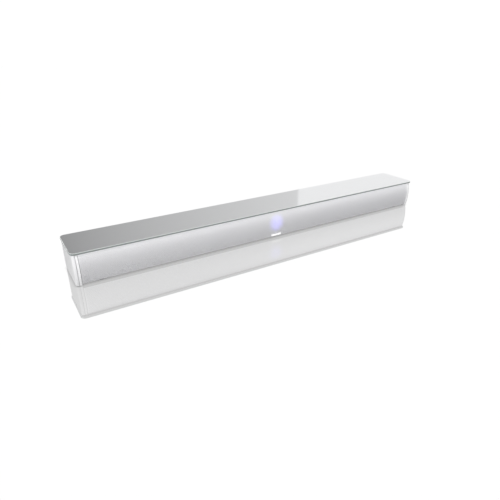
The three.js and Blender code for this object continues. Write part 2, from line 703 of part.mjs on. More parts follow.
function addTray() {
  const half = BAY_W / 2 - SEAM;
  const top = BAY_TOP - SEAM;
  const shell = block([-half, half], [bayFront, rearFace], [FOOT_H, top]);
  const inside = [-half + TRAY_T, half - TRAY_T];
  const hollow = block(inside, [wallRear, rearFace + 1], [FOOT_H - 1, top - TRAY_T]);
  const rockerHoleH = 2 * (rockerWellHalf + ROCKER_WALL);
  const barrel = ({ x, barrelR, bodyH }) =>
    rodAlongY(barrelR + SEAM, [bayFront - 1, wallRear + 1], x, socketZ(bodyH), KEY_STEPS);
  const holes = [
    wallHole(INLET.x, inletZ, INLET.w, INLET.h),
    wallHole(ROCKER.x, rockerZ, rockerWellW + 2 * ROCKER_WALL, rockerHoleH),
    wallHole(HDMI.x, socketZ(HDMI.h), HDMI.w, HDMI.h),
    wallHole(OPTICAL.x, socketZ(OPTICAL.h), OPTICAL.w, OPTICAL.h),
    barrel(AUX),
    barrel(RCA),
  ];
  add('connector_tray', cut(shell, hollow, ...holes), blackPlastic);
}

/** Two-pin mains inlet: a flange on the wall and a figure-of-eight well with two pins in it. */
function mainsInlet() {
  const face = wallRear + BOND;
  const end = face + INLET.flangeT;
  const shell = join(
    block(about(0, INLET.flangeW), [face, end], about(0, INLET.flangeH)),
    block(about(0, INLET.w), [face - INLET.depth, face + 1], about(0, INLET.h)),
  );
  const lobe = INLET_WELL.h / 2;
  const offset = INLET_WELL.w / 2 - lobe;
  const floor = end - INLET_WELL.depth;
  const lobes = [-1, 1].map((side) => rodAlongY(lobe, [floor, end + 1], side * offset, 0));
  const waist = block(about(0, 2 * offset), [floor, end + 1], about(0, INLET_WELL.waistH));
  const pinSpan = [floor - LAP, end - INLET_WELL.pinBack];
  const pins = [-1, 1].map((side) =>
    rodAlongY(INLET_WELL.pinR, pinSpan, (side * INLET_WELL.pinPitch) / 2, 0, KEY_STEPS),
  );
  return join(cut(shell, ...lobes, waist), ...pins);
}

/** A rod of the given length along X, about the origin. */
function pinAlongX(radius, length) {
  return new THREE.CylinderGeometry(radius, radius, length, 16).rotateZ(Math.PI / 2);
}

/** The rocker switch's fixed part: a bezel, and a well with two holes for the rocker's pins. */
function rockerHousing() {
  const bezelHalfW = rockerWellW / 2 + ROCKER_WALL + ROCKER_BEZEL_RIM;
  const bezelHalfH = rockerWellHalf + ROCKER_WALL + ROCKER_BEZEL_RIM;
  const bodyHalfW = rockerWellW / 2 + ROCKER_WALL;
  const bodyHalfH = rockerWellHalf + ROCKER_WALL;
  const face = wallRear + BOND;
  const front = face + ROCKER_BEZEL_T;
  const bezel = block(about(0, 2 * bezelHalfW), [face, front], about(0, 2 * bezelHalfH));
  const back = face - ROCKER_BODY_DEPTH;
  const body = block(about(0, 2 * bodyHalfW), [back, face + LAP], about(0, 2 * bodyHalfH));
  const wellDepth = [back + ROCKER_WALL, face + ROCKER_BEZEL_T + 1];
  const well = block(about(0, rockerWellW), wellDepth, [-rockerWellHalf, rockerWellHalf]);
  const pinHole = pinAlongX(ROCKER_PIN_R + BOND, rockerWellW + 2 * (ROCKER_PIN_LENGTH + BOND));
  pinHole.translate(0, rockerPivotY, 0);
  return cut(join(bezel, body), well, pinHole);
}

/** The rocker about its pivot: a shallow V face, a rounded keel and a pin at each end. */
function rocker() {
  const { half, face, dip, keel, w } = ROCKER;
  const outline = new THREE.Shape();
  outline.moveTo(face, -half);
  outline.lineTo(face - dip, 0);
  outline.lineTo(face, half);
  outline.lineTo(0, half);
  outline.lineTo(-keel, half / 3);
  outline.lineTo(-keel, -half / 3);
  outline.lineTo(0, -half);
  outline.closePath();
  const pins = pinAlongX(ROCKER_PIN_R, w + 2 * ROCKER_PIN_LENGTH);
  return join(extrudeAlongX(outline, about(0, w)), pins);
}

/** HDMI receptacle: a metal shell round a thin contact tongue. */
function hdmiSocket() {
  const { w, h, depth, openW, openH, openDepth } = HDMI;
  const end = wallRear + SOCKET_PROUD;
  const shell = block(about(0, w), [end - depth, end], about(0, h));
  const hollow = block(about(0, openW), [end - openDepth, end + 1], about(0, openH));
  const tongueSpan = [end - openDepth - LAP, end - HDMI_TONGUE.back];
  const tongue = block(about(0, HDMI_TONGUE.w), tongueSpan, about(0, HDMI_TONGUE.t));
  return join(cut(shell, hollow), tongue);
}

function opticalSocket() {
  const { w, h, depth, openW, openH, openDepth } = OPTICAL;
  const end = wallRear + SOCKET_PROUD;
  const shell = block(about(0, w), [end - depth, end], about(0, h));
  return cut(shell, block(about(0, openW), [end - openDepth, end + 1], about(0, openH)));
}

/** A round jack: a block behind the wall and a bored barrel through it. */
function roundJack({ bodyW, bodyH, barrelR, boreR, proud, boreDepth }) {
  const end = wallRear + proud;
  const bodyEnd = bayFront - SEAM;
  const body = block(about(0, bodyW), [bodyEnd - JACK_BODY_DEPTH, bodyEnd], about(0, bodyH));
  const barrel = rodAlongY(barrelR, [bodyEnd - LAP, end], 0, 0, KEY_STEPS);
  return cut(join(body, barrel), rodAlongY(boreR, [end - boreDepth, end + 1], 0, 0, KEY_STEPS));
}

function addSockets() {
  add('mains_inlet', mainsInlet(), blackPlastic, [INLET.x, 0, inletZ]);
  add('rocker_housing', rockerHousing(), blackPlastic, [ROCKER.x, 0, rockerZ]);
  const pivot = [ROCKER.x, rockerPivotY, rockerZ];
  add('power_rocker', rocker(), greyPlastic, pivot).rotation.x = tiltRadians;
  add('hdmi_socket', hdmiSocket(), steel, [HDMI.x, 0, socketZ(HDMI.h)]);
  add('optical_socket', opticalSocket(), blackPlastic, [OPTICAL.x, 0, socketZ(OPTICAL.h)]);
  add('aux_jack', roundJack(AUX), blackPlastic, [AUX.x, 0, socketZ(AUX.bodyH)]);
  add('subwoofer_jack', roundJack(RCA), steel, [RCA.x, 0, socketZ(RCA.bodyH)]);
}

// ---------------------------------------------------------------- keys

const keyPlaces = [-1.5, -0.5, 0.5, 1.5].map((step) => step * KEY_PITCH);
const keyNames = ['key_volume_up', 'key_volume_down', 'key_source', 'key_power'];

/** A round key: a cap through the rear board, a flange that keeps it in, and a stem. */
function key() {
  const cap = rearFace + KEY_PROUD;
  const flangeRear = rearInner - 2 * BOND;
  const flangeFront = flangeRear - KEY_FLANGE_T;
  return turnedAboutY([
    [0, rearInner - KEY_STEM_END], [KEY_STEM_R, rearInner - KEY_STEM_END],
    [KEY_STEM_R, flangeFront], [KEY_FLANGE_R, flangeFront], [KEY_FLANGE_R, flangeRear],
    [KEY_R, flangeRear], [KEY_R, cap - KEY_CHAMFER], [KEY_R - KEY_CHAMFER, cap], [0, cap],
  ], KEY_STEPS);
}

/** Board with a push switch behind each key, on two posts off the rear board. */
function keyBoard() {
  const switchRear = rearInner - KEY_STEM_END - KEY_TRAVEL - BOND;
  const boardRear = switchRear - KEY_SWITCH_T;
  const reach = keyPlaces.at(-1) + KEY_BOARD_MARGIN;
  const plate = block([-reach, reach], [boardRear - PCB_T, boardRear], about(keyZ, KEY_BOARD_H));
  const switches = keyPlaces.map((x) =>
    block(about(x, KEY_SWITCH_W), [boardRear - LAP, switchRear], about(keyZ, KEY_SWITCH_W)),
  );
  const posts = [-1, 1].map((side) =>
    rodAlongY(POST_R, [boardRear - LAP, rearInner - BOND], side * (reach - POST_R - 1), keyZ, POST_STEPS),
  );
  return join(plate, ...switches, ...posts);
}

function addKeys() {
  keyPlaces.forEach((x, i) => add(keyNames[i], key(), blackPlastic, [x, 0, keyZ]));
  add('key_board', keyBoard(), circuitGreen);
}

// ---------------------------------------------------------------- electronics

const boardZ = floorTop + BOARD_LIFT;
const electronicsFront = baffleBack + BOARD_FROM_BAFFLE;

/** A circuit board on four posts that stand on the bottom board. */
function boardOnPosts([x0, x1], [y0, y1], under) {
  const margin = 2 * POST_R;
  const plate = block([x0, x1], [y0, y1], [under, under + PCB_T]);
  const foot = floorTop + BOND;
  const length = under + LAP - foot;
  const posts = [x0 + margin, x1 - margin].flatMap((x) =>
    [y0 + margin, y1 - margin].map((y) =>
      new THREE.CylinderGeometry(POST_R, POST_R, length, POST_STEPS)
        .rotateX(Math.PI / 2)
        .translate(x, y, foot + length / 2),
    ),
  );
  return join(plate, ...posts);
}

/** A comb of cooling fins on a base plate. */
function heatSink() {
  const { w, depth, h, base, fins } = HEAT_SINK;
  const fin = w / (2 * fins - 1);
  const slots = Array.from({ length: fins - 1 }, (_, i) => {
    const x = -w / 2 + fin * (2 * i + 1);
    return block([x, x + fin], about(0, 2 * depth), [base, h + 1]);
  });
  return cut(block(about(0, w), about(0, depth), [0, h]), ...slots);
}

/** A laminated core with its winding standing out in front and behind. */
function transformer() {
  const { w, depth, h, windingW, windingDepth, yoke } = TRANSFORMER;
  const core = block(about(0, w), about(0, depth), [0, h]);
  const winding = block(about(0, windingW), about(0, windingDepth), [yoke, h - yoke]);
  return join(core, winding);
}

function addElectronics() {
  const depthOf = ({ depth }) => [electronicsFront, electronicsFront + depth];
  const amplifier = boardOnPosts([AMPLIFIER.from, AMPLIFIER.to], depthOf(AMPLIFIER), boardZ);
  add('amplifier_board', amplifier, circuitGreen);
  const onBoard = boardZ + PCB_T + BOND;
  const inletBack = wallRear + BOND - INLET.depth;
  const tallPartsY = (baffleBack + inletBack) / 2 - TALL_PARTS_FORWARD;
  add('heat_sink', heatSink(), aluminium, [HEAT_SINK.x, tallPartsY, onBoard]);

  const supply = boardOnPosts([SUPPLY.from, SUPPLY.to], depthOf(SUPPLY), boardZ);
  add('power_board', supply, circuitGreen);
  add('transformer', transformer(), coreLaminate, [TRANSFORMER.x, tallPartsY, onBoard]);

  const ioSpan = [RCA.x - RCA.bodyW, HDMI.x + HDMI.w];
  const ioEnd = bayFront - SEAM;
  const io = boardOnPosts(ioSpan, [ioEnd - IO_BOARD_DEPTH, ioEnd], IO_BOARD_Z);
  add('io_board', io, circuitGreen);
}

// ---------------------------------------------------------------- display

const receiverX = DISPLAY_W / 2 + RECEIVER_FROM_DISPLAY;
const displayZ = bowZ + DISPLAY_RISE;
const displayBoardY = [baffleBack + DISPLAY_BOARD_GAP, baffleBack + DISPLAY_BOARD_GAP + PCB_T];

function addDisplay() {
  const [front, back] = displayBoardY;
  const halfW = receiverX + 3 * POST_R;
  const plate = block(about(0, 2 * halfW), [front, back], about(displayZ, DISPLAY_BOARD_H));
  const postSpan = [baffleBack + BOND, front + LAP];
  const postX = halfW - 2 * POST_R;
  const postRise = DISPLAY_BOARD_H / 2 - 2 * POST_R;
  const posts = [-1, 1].flatMap((side) =>
    [-1, 1].map((end) =>
      rodAlongY(POST_R, postSpan, side * postX, displayZ + end * postRise, POST_STEPS),
    ),
  );
  add('display_board', join(plate, ...posts), circuitGreen);

  const depth = [baffleFront - DISPLAY_PROUD, front - BOND];
  const display = block(about(0, DISPLAY_W), depth, about(0, DISPLAY_H));
  add('display_module', display, blueLens, [0, 0, displayZ]);

  const lensY = baffleFront + RECEIVER_BACK;
  const lens = new THREE.SphereGeometry(RECEIVER_R, 12, 8).translate(0, lensY, 0);
  const stem = rodAlongY(RECEIVER_R, [lensY, front - BOND], 0, 0, KEY_STEPS);
  add('ir_receiver', join(lens, stem), blackPlastic, [receiverX, 0, displayZ]);
}

/** Flat cable from the back of the display board down to the amplifier board. */
function addRibbon() {
  const { from, to, t, bend, lead, drop } = RIBBON;
  const start = displayBoardY[1] + BOND;
  const top = displayZ - drop;
  const foot = boardZ + PCB_T + BOND;
  const outer = bend + t;
  const route = new THREE.Shape();
  route.moveTo(start, top);
  route.absarc(start + lead, top - outer, outer, Math.PI / 2, 0, true);
  route.lineTo(start + lead + outer, foot);
  route.lineTo(start + lead + bend, foot);
  route.absarc(start + lead, top - outer, bend, 0, Math.PI / 2);
  route.lineTo(start, top - t);
  route.closePath();
  add('display_ribbon', extrudeAlongX(route, [from, to], ARC_STEPS), greyPlastic);
}

addGlass();
addEnds();
addGrille();
addBadge();
addBoards();
addBaffle();
addRearBoard();
addFeet();
addDrivers();
addPorts();
addWallPlates();
addTray();
addSockets();
addKeys();
addElectronics();
addDisplay();
addRibbon();

export default soundbar;
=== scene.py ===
# %% [markdown]
# # A soundbar with a glass top
# The cabinet, its boards, sockets and drivers come from the imported CAD model, and this lesson
# dresses them. Places and sizes are read from that model wherever it gives them. The few that it
# doesn't, such as the screw rows and the signs, are set here.

# %% Load the frame
import json
import math

import bmesh
import bpy
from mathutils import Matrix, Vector


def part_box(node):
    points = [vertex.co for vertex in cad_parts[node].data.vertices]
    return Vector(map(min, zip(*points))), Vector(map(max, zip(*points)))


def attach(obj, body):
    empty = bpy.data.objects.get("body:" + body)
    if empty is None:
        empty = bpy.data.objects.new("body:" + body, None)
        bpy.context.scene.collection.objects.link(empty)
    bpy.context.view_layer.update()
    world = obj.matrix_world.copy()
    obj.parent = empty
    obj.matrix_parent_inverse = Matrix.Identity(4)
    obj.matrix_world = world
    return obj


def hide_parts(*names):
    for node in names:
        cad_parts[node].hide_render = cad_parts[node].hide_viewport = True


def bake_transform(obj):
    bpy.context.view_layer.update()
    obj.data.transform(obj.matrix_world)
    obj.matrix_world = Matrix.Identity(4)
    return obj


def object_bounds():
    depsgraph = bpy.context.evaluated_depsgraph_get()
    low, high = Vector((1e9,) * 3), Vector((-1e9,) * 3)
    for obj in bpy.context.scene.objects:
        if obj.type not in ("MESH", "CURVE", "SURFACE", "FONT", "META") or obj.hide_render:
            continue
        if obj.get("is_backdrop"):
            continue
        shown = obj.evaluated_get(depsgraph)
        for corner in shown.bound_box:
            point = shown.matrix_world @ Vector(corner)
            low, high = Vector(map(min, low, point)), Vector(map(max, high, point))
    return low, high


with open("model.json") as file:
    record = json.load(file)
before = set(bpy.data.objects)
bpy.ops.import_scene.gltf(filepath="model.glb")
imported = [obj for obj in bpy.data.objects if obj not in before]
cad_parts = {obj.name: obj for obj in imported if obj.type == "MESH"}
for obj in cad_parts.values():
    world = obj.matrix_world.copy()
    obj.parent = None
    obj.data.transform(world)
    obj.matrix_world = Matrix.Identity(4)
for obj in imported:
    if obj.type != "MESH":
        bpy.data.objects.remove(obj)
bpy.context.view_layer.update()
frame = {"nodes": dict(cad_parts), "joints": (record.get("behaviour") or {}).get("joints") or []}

nodes = frame["nodes"]

# %% [markdown]
# ## Camera
# The view is from the left, a little above the bar, with a fairly wide lens. A camera looks along
# its own -Z, so the rotation is made from the direction it looks in. This comes first because
# everything after it is judged through it.

# %% Make the camera
CAMERA_PLACE = (-0.5436, -0.8192, 0.4057)
CAMERA_AZIMUTH = -31.52
CAMERA_ELEVATION = 24.94
LENS, SENSOR_WIDTH = 31.52, 36


def direction(azimuth, elevation):
    """The direction from the object towards a viewer at these angles, in degrees."""
    a, e = math.radians(azimuth), math.radians(elevation)
    return Vector((math.sin(a) * math.cos(e), -math.cos(a) * math.cos(e), math.sin(e)))


camera_data = bpy.data.cameras.new("camera")
camera_data.lens = LENS
camera_data.sensor_width = SENSOR_WIDTH
camera = bpy.data.objects.new("camera", camera_data)
camera.location = CAMERA_PLACE
camera.rotation_mode = "QUATERNION"
looking = -direction(CAMERA_AZIMUTH, CAMERA_ELEVATION)
camera.rotation_quaternion = looking.to_track_quat("-Z", "Y")
bpy.context.scene.collection.objects.link(camera)
bpy.context.scene.camera = camera
print("camera", camera.location[:])

# %% [markdown]
# ## Node helpers
# A material is a small graph. These helpers add a node, set its plain values and join sockets, so
# the cells below can say what a finish is made of rather than how a graph is wired.


# %% Helpers for shader graphs
def node(tree, kind, inputs=(), **settings):
    """Adds a node, sets its properties, then sets or links its inputs by name or number."""
    made = tree.nodes.new(kind)  # a group's sockets exist only once its node_tree is set
    for name, value in settings.items():
        setattr(made, name, value)
    for name, value in dict(inputs).items():
        socket = made.inputs[name]
        if isinstance(value, bpy.types.NodeSocket):
            tree.links.new(value, socket)
        else:
            socket.default_value = value
    return made


def new_group(name, sockets_in, sockets_out):
    """An empty shader group with named sockets, with its input and output nodes."""
    group = bpy.data.node_groups.new(name, "ShaderNodeTree")
    for socket, kind, value in sockets_in:
        made = group.interface.new_socket(socket, in_out="INPUT", socket_type=kind)
        if value is not None:
            made.default_value = value
    for socket, kind in sockets_out:
        group.interface.new_socket(socket, in_out="OUTPUT", socket_type=kind)
    return group, group.nodes.new("NodeGroupInput"), group.nodes.new("NodeGroupOutput")


def maths(tree, operation, *values, **settings):
    """A Math node's result, in a shader graph or a geometry tree."""
    return node(tree, "ShaderNodeMath", dict(enumerate(values)), operation=operation,
                **settings).outputs[0]


FLOAT, COLOUR = "NodeSocketFloat", "NodeSocketColor"


def rgba(grey_or_colour):
    """A colour with its alpha, from one grey value or from three."""
    if isinstance(grey_or_colour, (int, float)):
        return (grey_or_colour,) * 3 + (1.0,)
    return tuple(grey_or_colour) + (1.0,)


# %% [markdown]
# ## Shared effects
# Paint, plastic and metal all vary a little over their surface, and all gather a little dust where
# they face up. One group makes the fine variation and another the dust. Each finish sets the
# grain's scale and strength, and how much dust lies on it.

# %% Build the grain group
grain_group, grain_in, grain_out = new_group(
    "surface_grain",
    [("Colour", COLOUR, None), ("Scale", FLOAT, 400.0), ("Stretch", FLOAT, 1.0),
     ("Contrast", FLOAT, 0.1), ("Roughness", FLOAT, 0.4), ("Roughness Spread", FLOAT, 0.1)],
    [("Colour", COLOUR), ("Roughness", FLOAT), ("Height", FLOAT)],
)


def fill_grain(tree, start, end):
    """Noise drawn out along X by Stretch, turned into a colour, a roughness and a height."""
    place = node(tree, "ShaderNodeTexCoord").outputs["Object"]
    drawn = node(tree, "ShaderNodeCombineXYZ", {1: 1.0, 2: 1.0, 0: start.outputs["Stretch"]})
    scaled = node(tree, "ShaderNodeVectorMath", {0: place, 1: drawn.outputs[0]},
                  operation="MULTIPLY")
    noise = node(tree, "ShaderNodeTexNoise",
                 {"Vector": scaled.outputs[0], "Scale": start.outputs["Scale"], "Detail": 4.0})
    value = noise.outputs["Fac"]
    centred = maths(tree, "SUBTRACT", value, 0.5)
    shade = maths(tree, "MULTIPLY_ADD", centred, start.outputs["Contrast"], 1.0)
    colour = node(tree, "ShaderNodeVectorMath", {0: start.outputs["Colour"], "Scale": shade},
                  operation="SCALE").outputs[0]
    rough = maths(tree, "MULTIPLY_ADD", centred, start.outputs["Roughness Spread"],
                  start.outputs["Roughness"], use_clamp=True)
    tree.links.new(colour, end.inputs["Colour"])
    tree.links.new(rough, end.inputs["Roughness"])
    tree.links.new(value, end.inputs["Height"])


fill_grain(grain_group, grain_in, grain_out)

# %% Build the dust group
dust_group, dust_in, dust_out = new_group(
    "settled_dust",
    [("Colour", COLOUR, None), ("Roughness", FLOAT, 0.4), ("Amount", FLOAT, 0.1)],
    [("Colour", COLOUR), ("Roughness", FLOAT)],
)
DUST_COLOUR = (0.62, 0.61, 0.59)
DUST_ROUGHNESS = 0.85
DUST_FACES_UP = 0.2  # dust lies only where a surface's normal rises more than this
DUST_PATCHES = 35.0


def fill_dust(tree, start, end):
    """Patchy dust on what faces up: it lightens the colour and dulls the gloss."""
    normal = node(tree, "ShaderNodeNewGeometry").outputs["Normal"]
    up = node(tree, "ShaderNodeSeparateXYZ", {0: normal}).outputs["Z"]
    facing = node(tree, "ShaderNodeMapRange", {"Value": up, "From Min": DUST_FACES_UP,
                                               "From Max": 1.0})
    place = node(tree, "ShaderNodeTexCoord").outputs["Object"]
    patches = node(tree, "ShaderNodeTexNoise",
                   {"Vector": place, "Scale": DUST_PATCHES, "Detail": 6.0})
    both = maths(tree, "MULTIPLY", facing.outputs[0], patches.outputs["Fac"])
    mask = maths(tree, "MULTIPLY", both, start.outputs["Amount"], use_clamp=True)
    colour = node(tree, "ShaderNodeMix",
                  {0: mask, 6: start.outputs["Colour"], 7: rgba(DUST_COLOUR)}, data_type="RGBA")
    rough = node(tree, "ShaderNodeMix",
                 {0: mask, 2: start.outputs["Roughness"], 3: DUST_ROUGHNESS}, data_type="FLOAT")
    tree.links.new(colour.outputs[2], end.inputs["Colour"])
    tree.links.new(rough.outputs[0], end.inputs["Roughness"])


fill_dust(dust_group, dust_in, dust_out)
print("groups", [g.name for g in bpy.data.node_groups])

# %% [markdown]
# ## Finishes
# Most parts of the bar are one of a few kinds of surface: painted board, moulded plastic, plated
# or lacquered metal, rubber, paper. A single recipe covers them. The grain group feeds colour and
# roughness, the dust group goes over it, and the grain's height becomes a small bump. Values that
# are the same all over a surface, such as metalness, are set on the shader itself.


# %% The recipe for a finish
def finish(name, colour, roughness, metallic=0.0, scale=400.0, stretch=1.0, contrast=0.12,
           spread=0.15, bump=0.00002, dust=0.15, coat=0.0, coat_roughness=0.08, sheen=0.0):
    """A material made of grain, dust and a bump, with its plain values on the shader."""
    material = bpy.data.materials.new(name)
    material.use_nodes = True
    tree = material.node_tree
    shader = tree.nodes["Principled BSDF"]
    grain = node(tree, "ShaderNodeGroup",
                 {"Colour": rgba(colour), "Scale": scale, "Stretch": stretch,
                  "Contrast": contrast, "Roughness": roughness, "Roughness Spread": spread},
                 node_tree=grain_group)
    settled = node(tree, "ShaderNodeGroup",
                   {"Colour": grain.outputs["Colour"], "Roughness": grain.outputs["Roughness"],
                    "Amount": dust}, node_tree=dust_group)
    tree.links.new(settled.outputs["Colour"], shader.inputs["Base Color"])
    tree.links.new(settled.outputs["Roughness"], shader.inputs["Roughness"])
    raised = node(tree, "ShaderNodeBump",
                  {"Height": grain.outputs["Height"], "Strength": 1.0, "Distance": bump})
    tree.links.new(raised.outputs["Normal"], shader.inputs["Normal"])
    shader.inputs["Metallic"].default_value = metallic
    shader.inputs["Coat Weight"].default_value = coat
    shader.inputs["Coat Roughness"].default_value = coat_roughness
    shader.inputs["Sheen Weight"].default_value = sheen
    return material


# %% The bar's finishes, named as in the record
finishes = {
    "silver_glass": finish("silver_glass", (0.745, 0.75, 0.76), 0.06, 1.0, 60, contrast=0.02,
                           spread=0.03, bump=0.0, dust=0.04),
    "foam_tape": finish("foam_tape", 0.05, 0.9, scale=1500, bump=0.0002),
    "cabinet_paint": finish("cabinet_paint", (0.6, 0.61, 0.63), 0.42, 0.25, 900, contrast=0.08,
                            bump=0.00003, dust=0.2),
    "baffle_board": finish("baffle_board", (0.035, 0.035, 0.04), 0.75, scale=300, stretch=0.15,
                           contrast=0.5, bump=0.0001),
    "silver_lacquer": finish("silver_lacquer", (0.79, 0.79, 0.8), 0.3, 0.0, 1400,
                             contrast=0.05, spread=0.08, bump=0.000008, dust=0.05, coat=0.2,
                             coat_roughness=0.12),
    "bright_trim": finish("bright_trim", (0.95, 0.95, 0.96), 0.28, 0.1, 1200, 0.1, contrast=0.05,
                          bump=0.000005, dust=0.03),
    "black_plastic": finish("black_plastic", (0.022, 0.022, 0.025), 0.5, scale=1800,
                            contrast=0.2, bump=0.00006, dust=0.12),
    "silver_mesh": finish("silver_mesh", (0.88, 0.88, 0.9), 0.4, 0.6, 900, contrast=0.05,
                          spread=0.1, bump=0.000006, dust=0.05),
    "white_enamel": finish("white_enamel", (0.93, 0.93, 0.93), 0.2, scale=500, contrast=0.02,
                           bump=0.000004, dust=0.0, coat=1.0),
    "foot_rubber": finish("foot_rubber", (0.42, 0.42, 0.43), 0.75, scale=1600, contrast=0.3,
                          bump=0.0001),
    "switch_plastic": finish("switch_plastic", (0.03, 0.03, 0.034), 0.25, scale=900,
                             contrast=0.1, bump=0.00001, dust=0.08),
    "plated_steel": finish("plated_steel", (0.66, 0.67, 0.69), 0.3, 1.0, 700, 0.2,
                           contrast=0.15, bump=0.00001, dust=0.08),
    "circuit_board": finish("circuit_board", (0.02, 0.14, 0.06), 0.35, scale=260, contrast=0.5,
                            bump=0.00004, dust=0.2),
    "key_plastic": finish("key_plastic", (0.04, 0.04, 0.045), 0.45, scale=1500, contrast=0.15,
                          bump=0.00003, dust=0.1),
    "heat_sink_aluminium": finish("heat_sink_aluminium", (0.55, 0.56, 0.58), 0.4, 1.0, 500, 0.1,
                                  contrast=0.2, bump=0.00002),
    "core_laminate": finish("core_laminate", (0.16, 0.13, 0.09), 0.5, 0.6, 300, 6.0,
                            contrast=0.4, bump=0.00005),
    "display_lens": finish("display_lens", (0.02, 0.02, 0.03), 0.15, scale=300, contrast=0.1,
                           bump=0.0, coat=1.0),
    "ribbon_plastic": finish("ribbon_plastic", 0.68, 0.4, scale=200, stretch=8.0, contrast=0.3,
                             bump=0.00003),
    "magnet_steel": finish("magnet_steel", (0.05, 0.05, 0.055), 0.4, 0.7, 600, contrast=0.2),
    "surround_rubber": finish("surround_rubber", (0.025, 0.025, 0.025), 0.6, scale=1200,
                              contrast=0.2, bump=0.00003),
    "cone_paper": finish("cone_paper", (0.07, 0.07, 0.075), 0.85, scale=500, contrast=0.6,
                         bump=0.0001),
    "dome_silk": finish("dome_silk", (0.03, 0.03, 0.035), 0.7, scale=1400, contrast=0.4,
                        bump=0.00006, sheen=0.4),
}
for cad in nodes.values():
    for place, old in enumerate(cad.data.materials):
        cad.data.materials[place] = finishes[old.name.split(".")[0]]
print("finishes", len(finishes))

# %% [markdown]
# ## Building meshes
# The pieces below are turned, drawn along a line, or stacked from outlines. A loft takes a list
# of outlines with equally many points, joins each to the next and closes both ends. Its normals
# are worked out afterwards, on the closed shell, so mirrored pieces face outward too.


# %% Helpers for meshes
MM = 0.001
SMOOTH_BELOW = math.radians(32)  # edges sharper than this stay crisp
WELD = 1e-7


def mesh_object(name, mesh, slot, body="cabinet", material=None):
    """Puts a mesh in the scene at the origin, with its finish, riding on a body."""
    made = bpy.data.objects.new(name, mesh)
    bpy.context.scene.collection.objects.link(made)
    mesh.materials.clear()
    mesh.materials.append(material or finishes[slot])
    mesh.shade_smooth()
    mesh.set_sharp_from_angle(angle=SMOOTH_BELOW)
    if body:
        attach(made, body)
    return made


def closed_mesh(name, points, faces):
    """A mesh with its doubles merged and its faces turned outward."""
    mesh = bpy.data.meshes.new(name)
    mesh.from_pydata([Vector(p) * MM for p in points], [], faces)
    shell = bmesh.new()
    shell.from_mesh(mesh)
    bmesh.ops.remove_doubles(shell, verts=shell.verts, dist=WELD)
    bmesh.ops.recalc_face_normals(shell, faces=shell.faces)
    shell.to_mesh(mesh)
    shell.free()
    return mesh


def loft(name, rings):
    """A closed solid through outlines that have equally many points."""
    count = len(rings[0])
    points = [p for ring in rings for p in ring]
    faces = [list(range(count)), list(range(len(points) - count, len(points)))]
    for level in range(len(rings) - 1):
        low, high = level * count, (level + 1) * count
        for i in range(count):
            j = (i + 1) % count
            faces.append([low + i, low + j, high + j, high + i])
    return closed_mesh(name, points, faces)


def turned(name, outline, centre, axis="Y", steps=48):
    """A closed outline of (radius, height) turned about an axis through centre."""
    cx, cy, cz = centre
    rings = []
    for k in range(steps):
        a = 2 * math.pi * k / steps
        c, s = math.cos(a), math.sin(a)
        if axis == "Y":
            rings.append([(cx + r * c, cy + h, cz + r * s) for r, h in outline])
        else:
            rings.append([(cx + r * c, cy + r * s, cz + h) for r, h in outline])
    count = len(outline)
    points = [p for ring in rings for p in ring]
    faces = []
    for k in range(steps):
        here, there = k * count, ((k + 1) % steps) * count
        for i in range(count):
            j = (i + 1) % count
            faces.append([here + i, here + j, there + j, there + i])
    return closed_mesh(name, points, faces)


def box_mm(name):
    """A CAD node's lowest and highest corners, in millimetres."""
    low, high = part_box(name)
    return low / MM, high / MM


def middle_mm(name):
    """The middle of a CAD node's box, in millimetres."""
    low, high = box_mm(name)
    return (low + high) / 2


# %% [markdown]
# ## The bowed front
# The whole front follows one shallow arc: the grille, the strips beside it and the front edges of
# the end caps. On the real bar that arc is what catches the light in a long soft gradient, so it is
# worth having in fine steps. Its radius comes from its rise and height in the CAD model.

# %% Work out the bow
cap_low, cap_high = box_mm("end_cap_right")
grille_low, grille_high = box_mm("front_grille")
BOW_RISE = 4.2
bow_half = (cap_high.z - cap_low.z) / 2
bow_z = (cap_high.z + cap_low.z) / 2
bow_radius = (bow_half**2 + BOW_RISE**2) / (2 * BOW_RISE)
bow_y = grille_low.y + bow_radius
print("bow radius", round(bow_radius, 2), "centre", round(bow_y, 2), round(bow_z, 2))


def bow_front(z, behind=0.0):
    """The front's y at a height, or that of a surface a little behind it."""
    return bow_y - math.sqrt((bow_radius - behind) ** 2 - (z - bow_z) ** 2)


def steps_between(a, b, count):
    """Evenly spaced values from a to b, with both ends."""
    return [a + (b - a) * i / count for i in range(count + 1)]


# %% [markdown]
# ## End caps
# Each cap is a thick lacquered plate whose front edge is rounded into its side. It is stacked from
# level outlines, because the rounding has to follow the bow as it climbs. The first and last
# outlines are drawn in a little, which gives the sharp edges the soft break that lacquer has.

# %% Make the end caps
CAP_STEPS = 36
CAP_BREAK = 0.5
CAP_ROUND_STEPS = 14
GROOVE_DEPTH = 1.6  # the first step of the rounding drops this far, beside the trim strip
REAR_RADIUS = 3.0


def quarter(cx, cy, radius, start, count=8):
    """A quarter circle in the plane, turning left from its start angle."""
    angles = [math.radians(start + 90 * i / count) for i in range(count + 1)]
    return [(cx + radius * math.cos(a), cy + radius * math.sin(a)) for a in angles]


def cap_outline(z, side, drawn_in):
    """One level of an end cap: round at the front outside, and a small radius behind."""
    inner, outer, rear = cap_low.x, cap_high.x, cap_high.y
    width = outer - inner
    front = bow_front(z) + width
    flat = quarter(inner, front, width - drawn_in, -90, CAP_ROUND_STEPS)
    flat[0] = (inner, flat[0][1] + GROOVE_DEPTH)
    flat += quarter(outer - REAR_RADIUS, rear - REAR_RADIUS, REAR_RADIUS - drawn_in, 0)
    flat.append((inner, rear - drawn_in))
    return [(side * x, y, z) for x, y in flat]


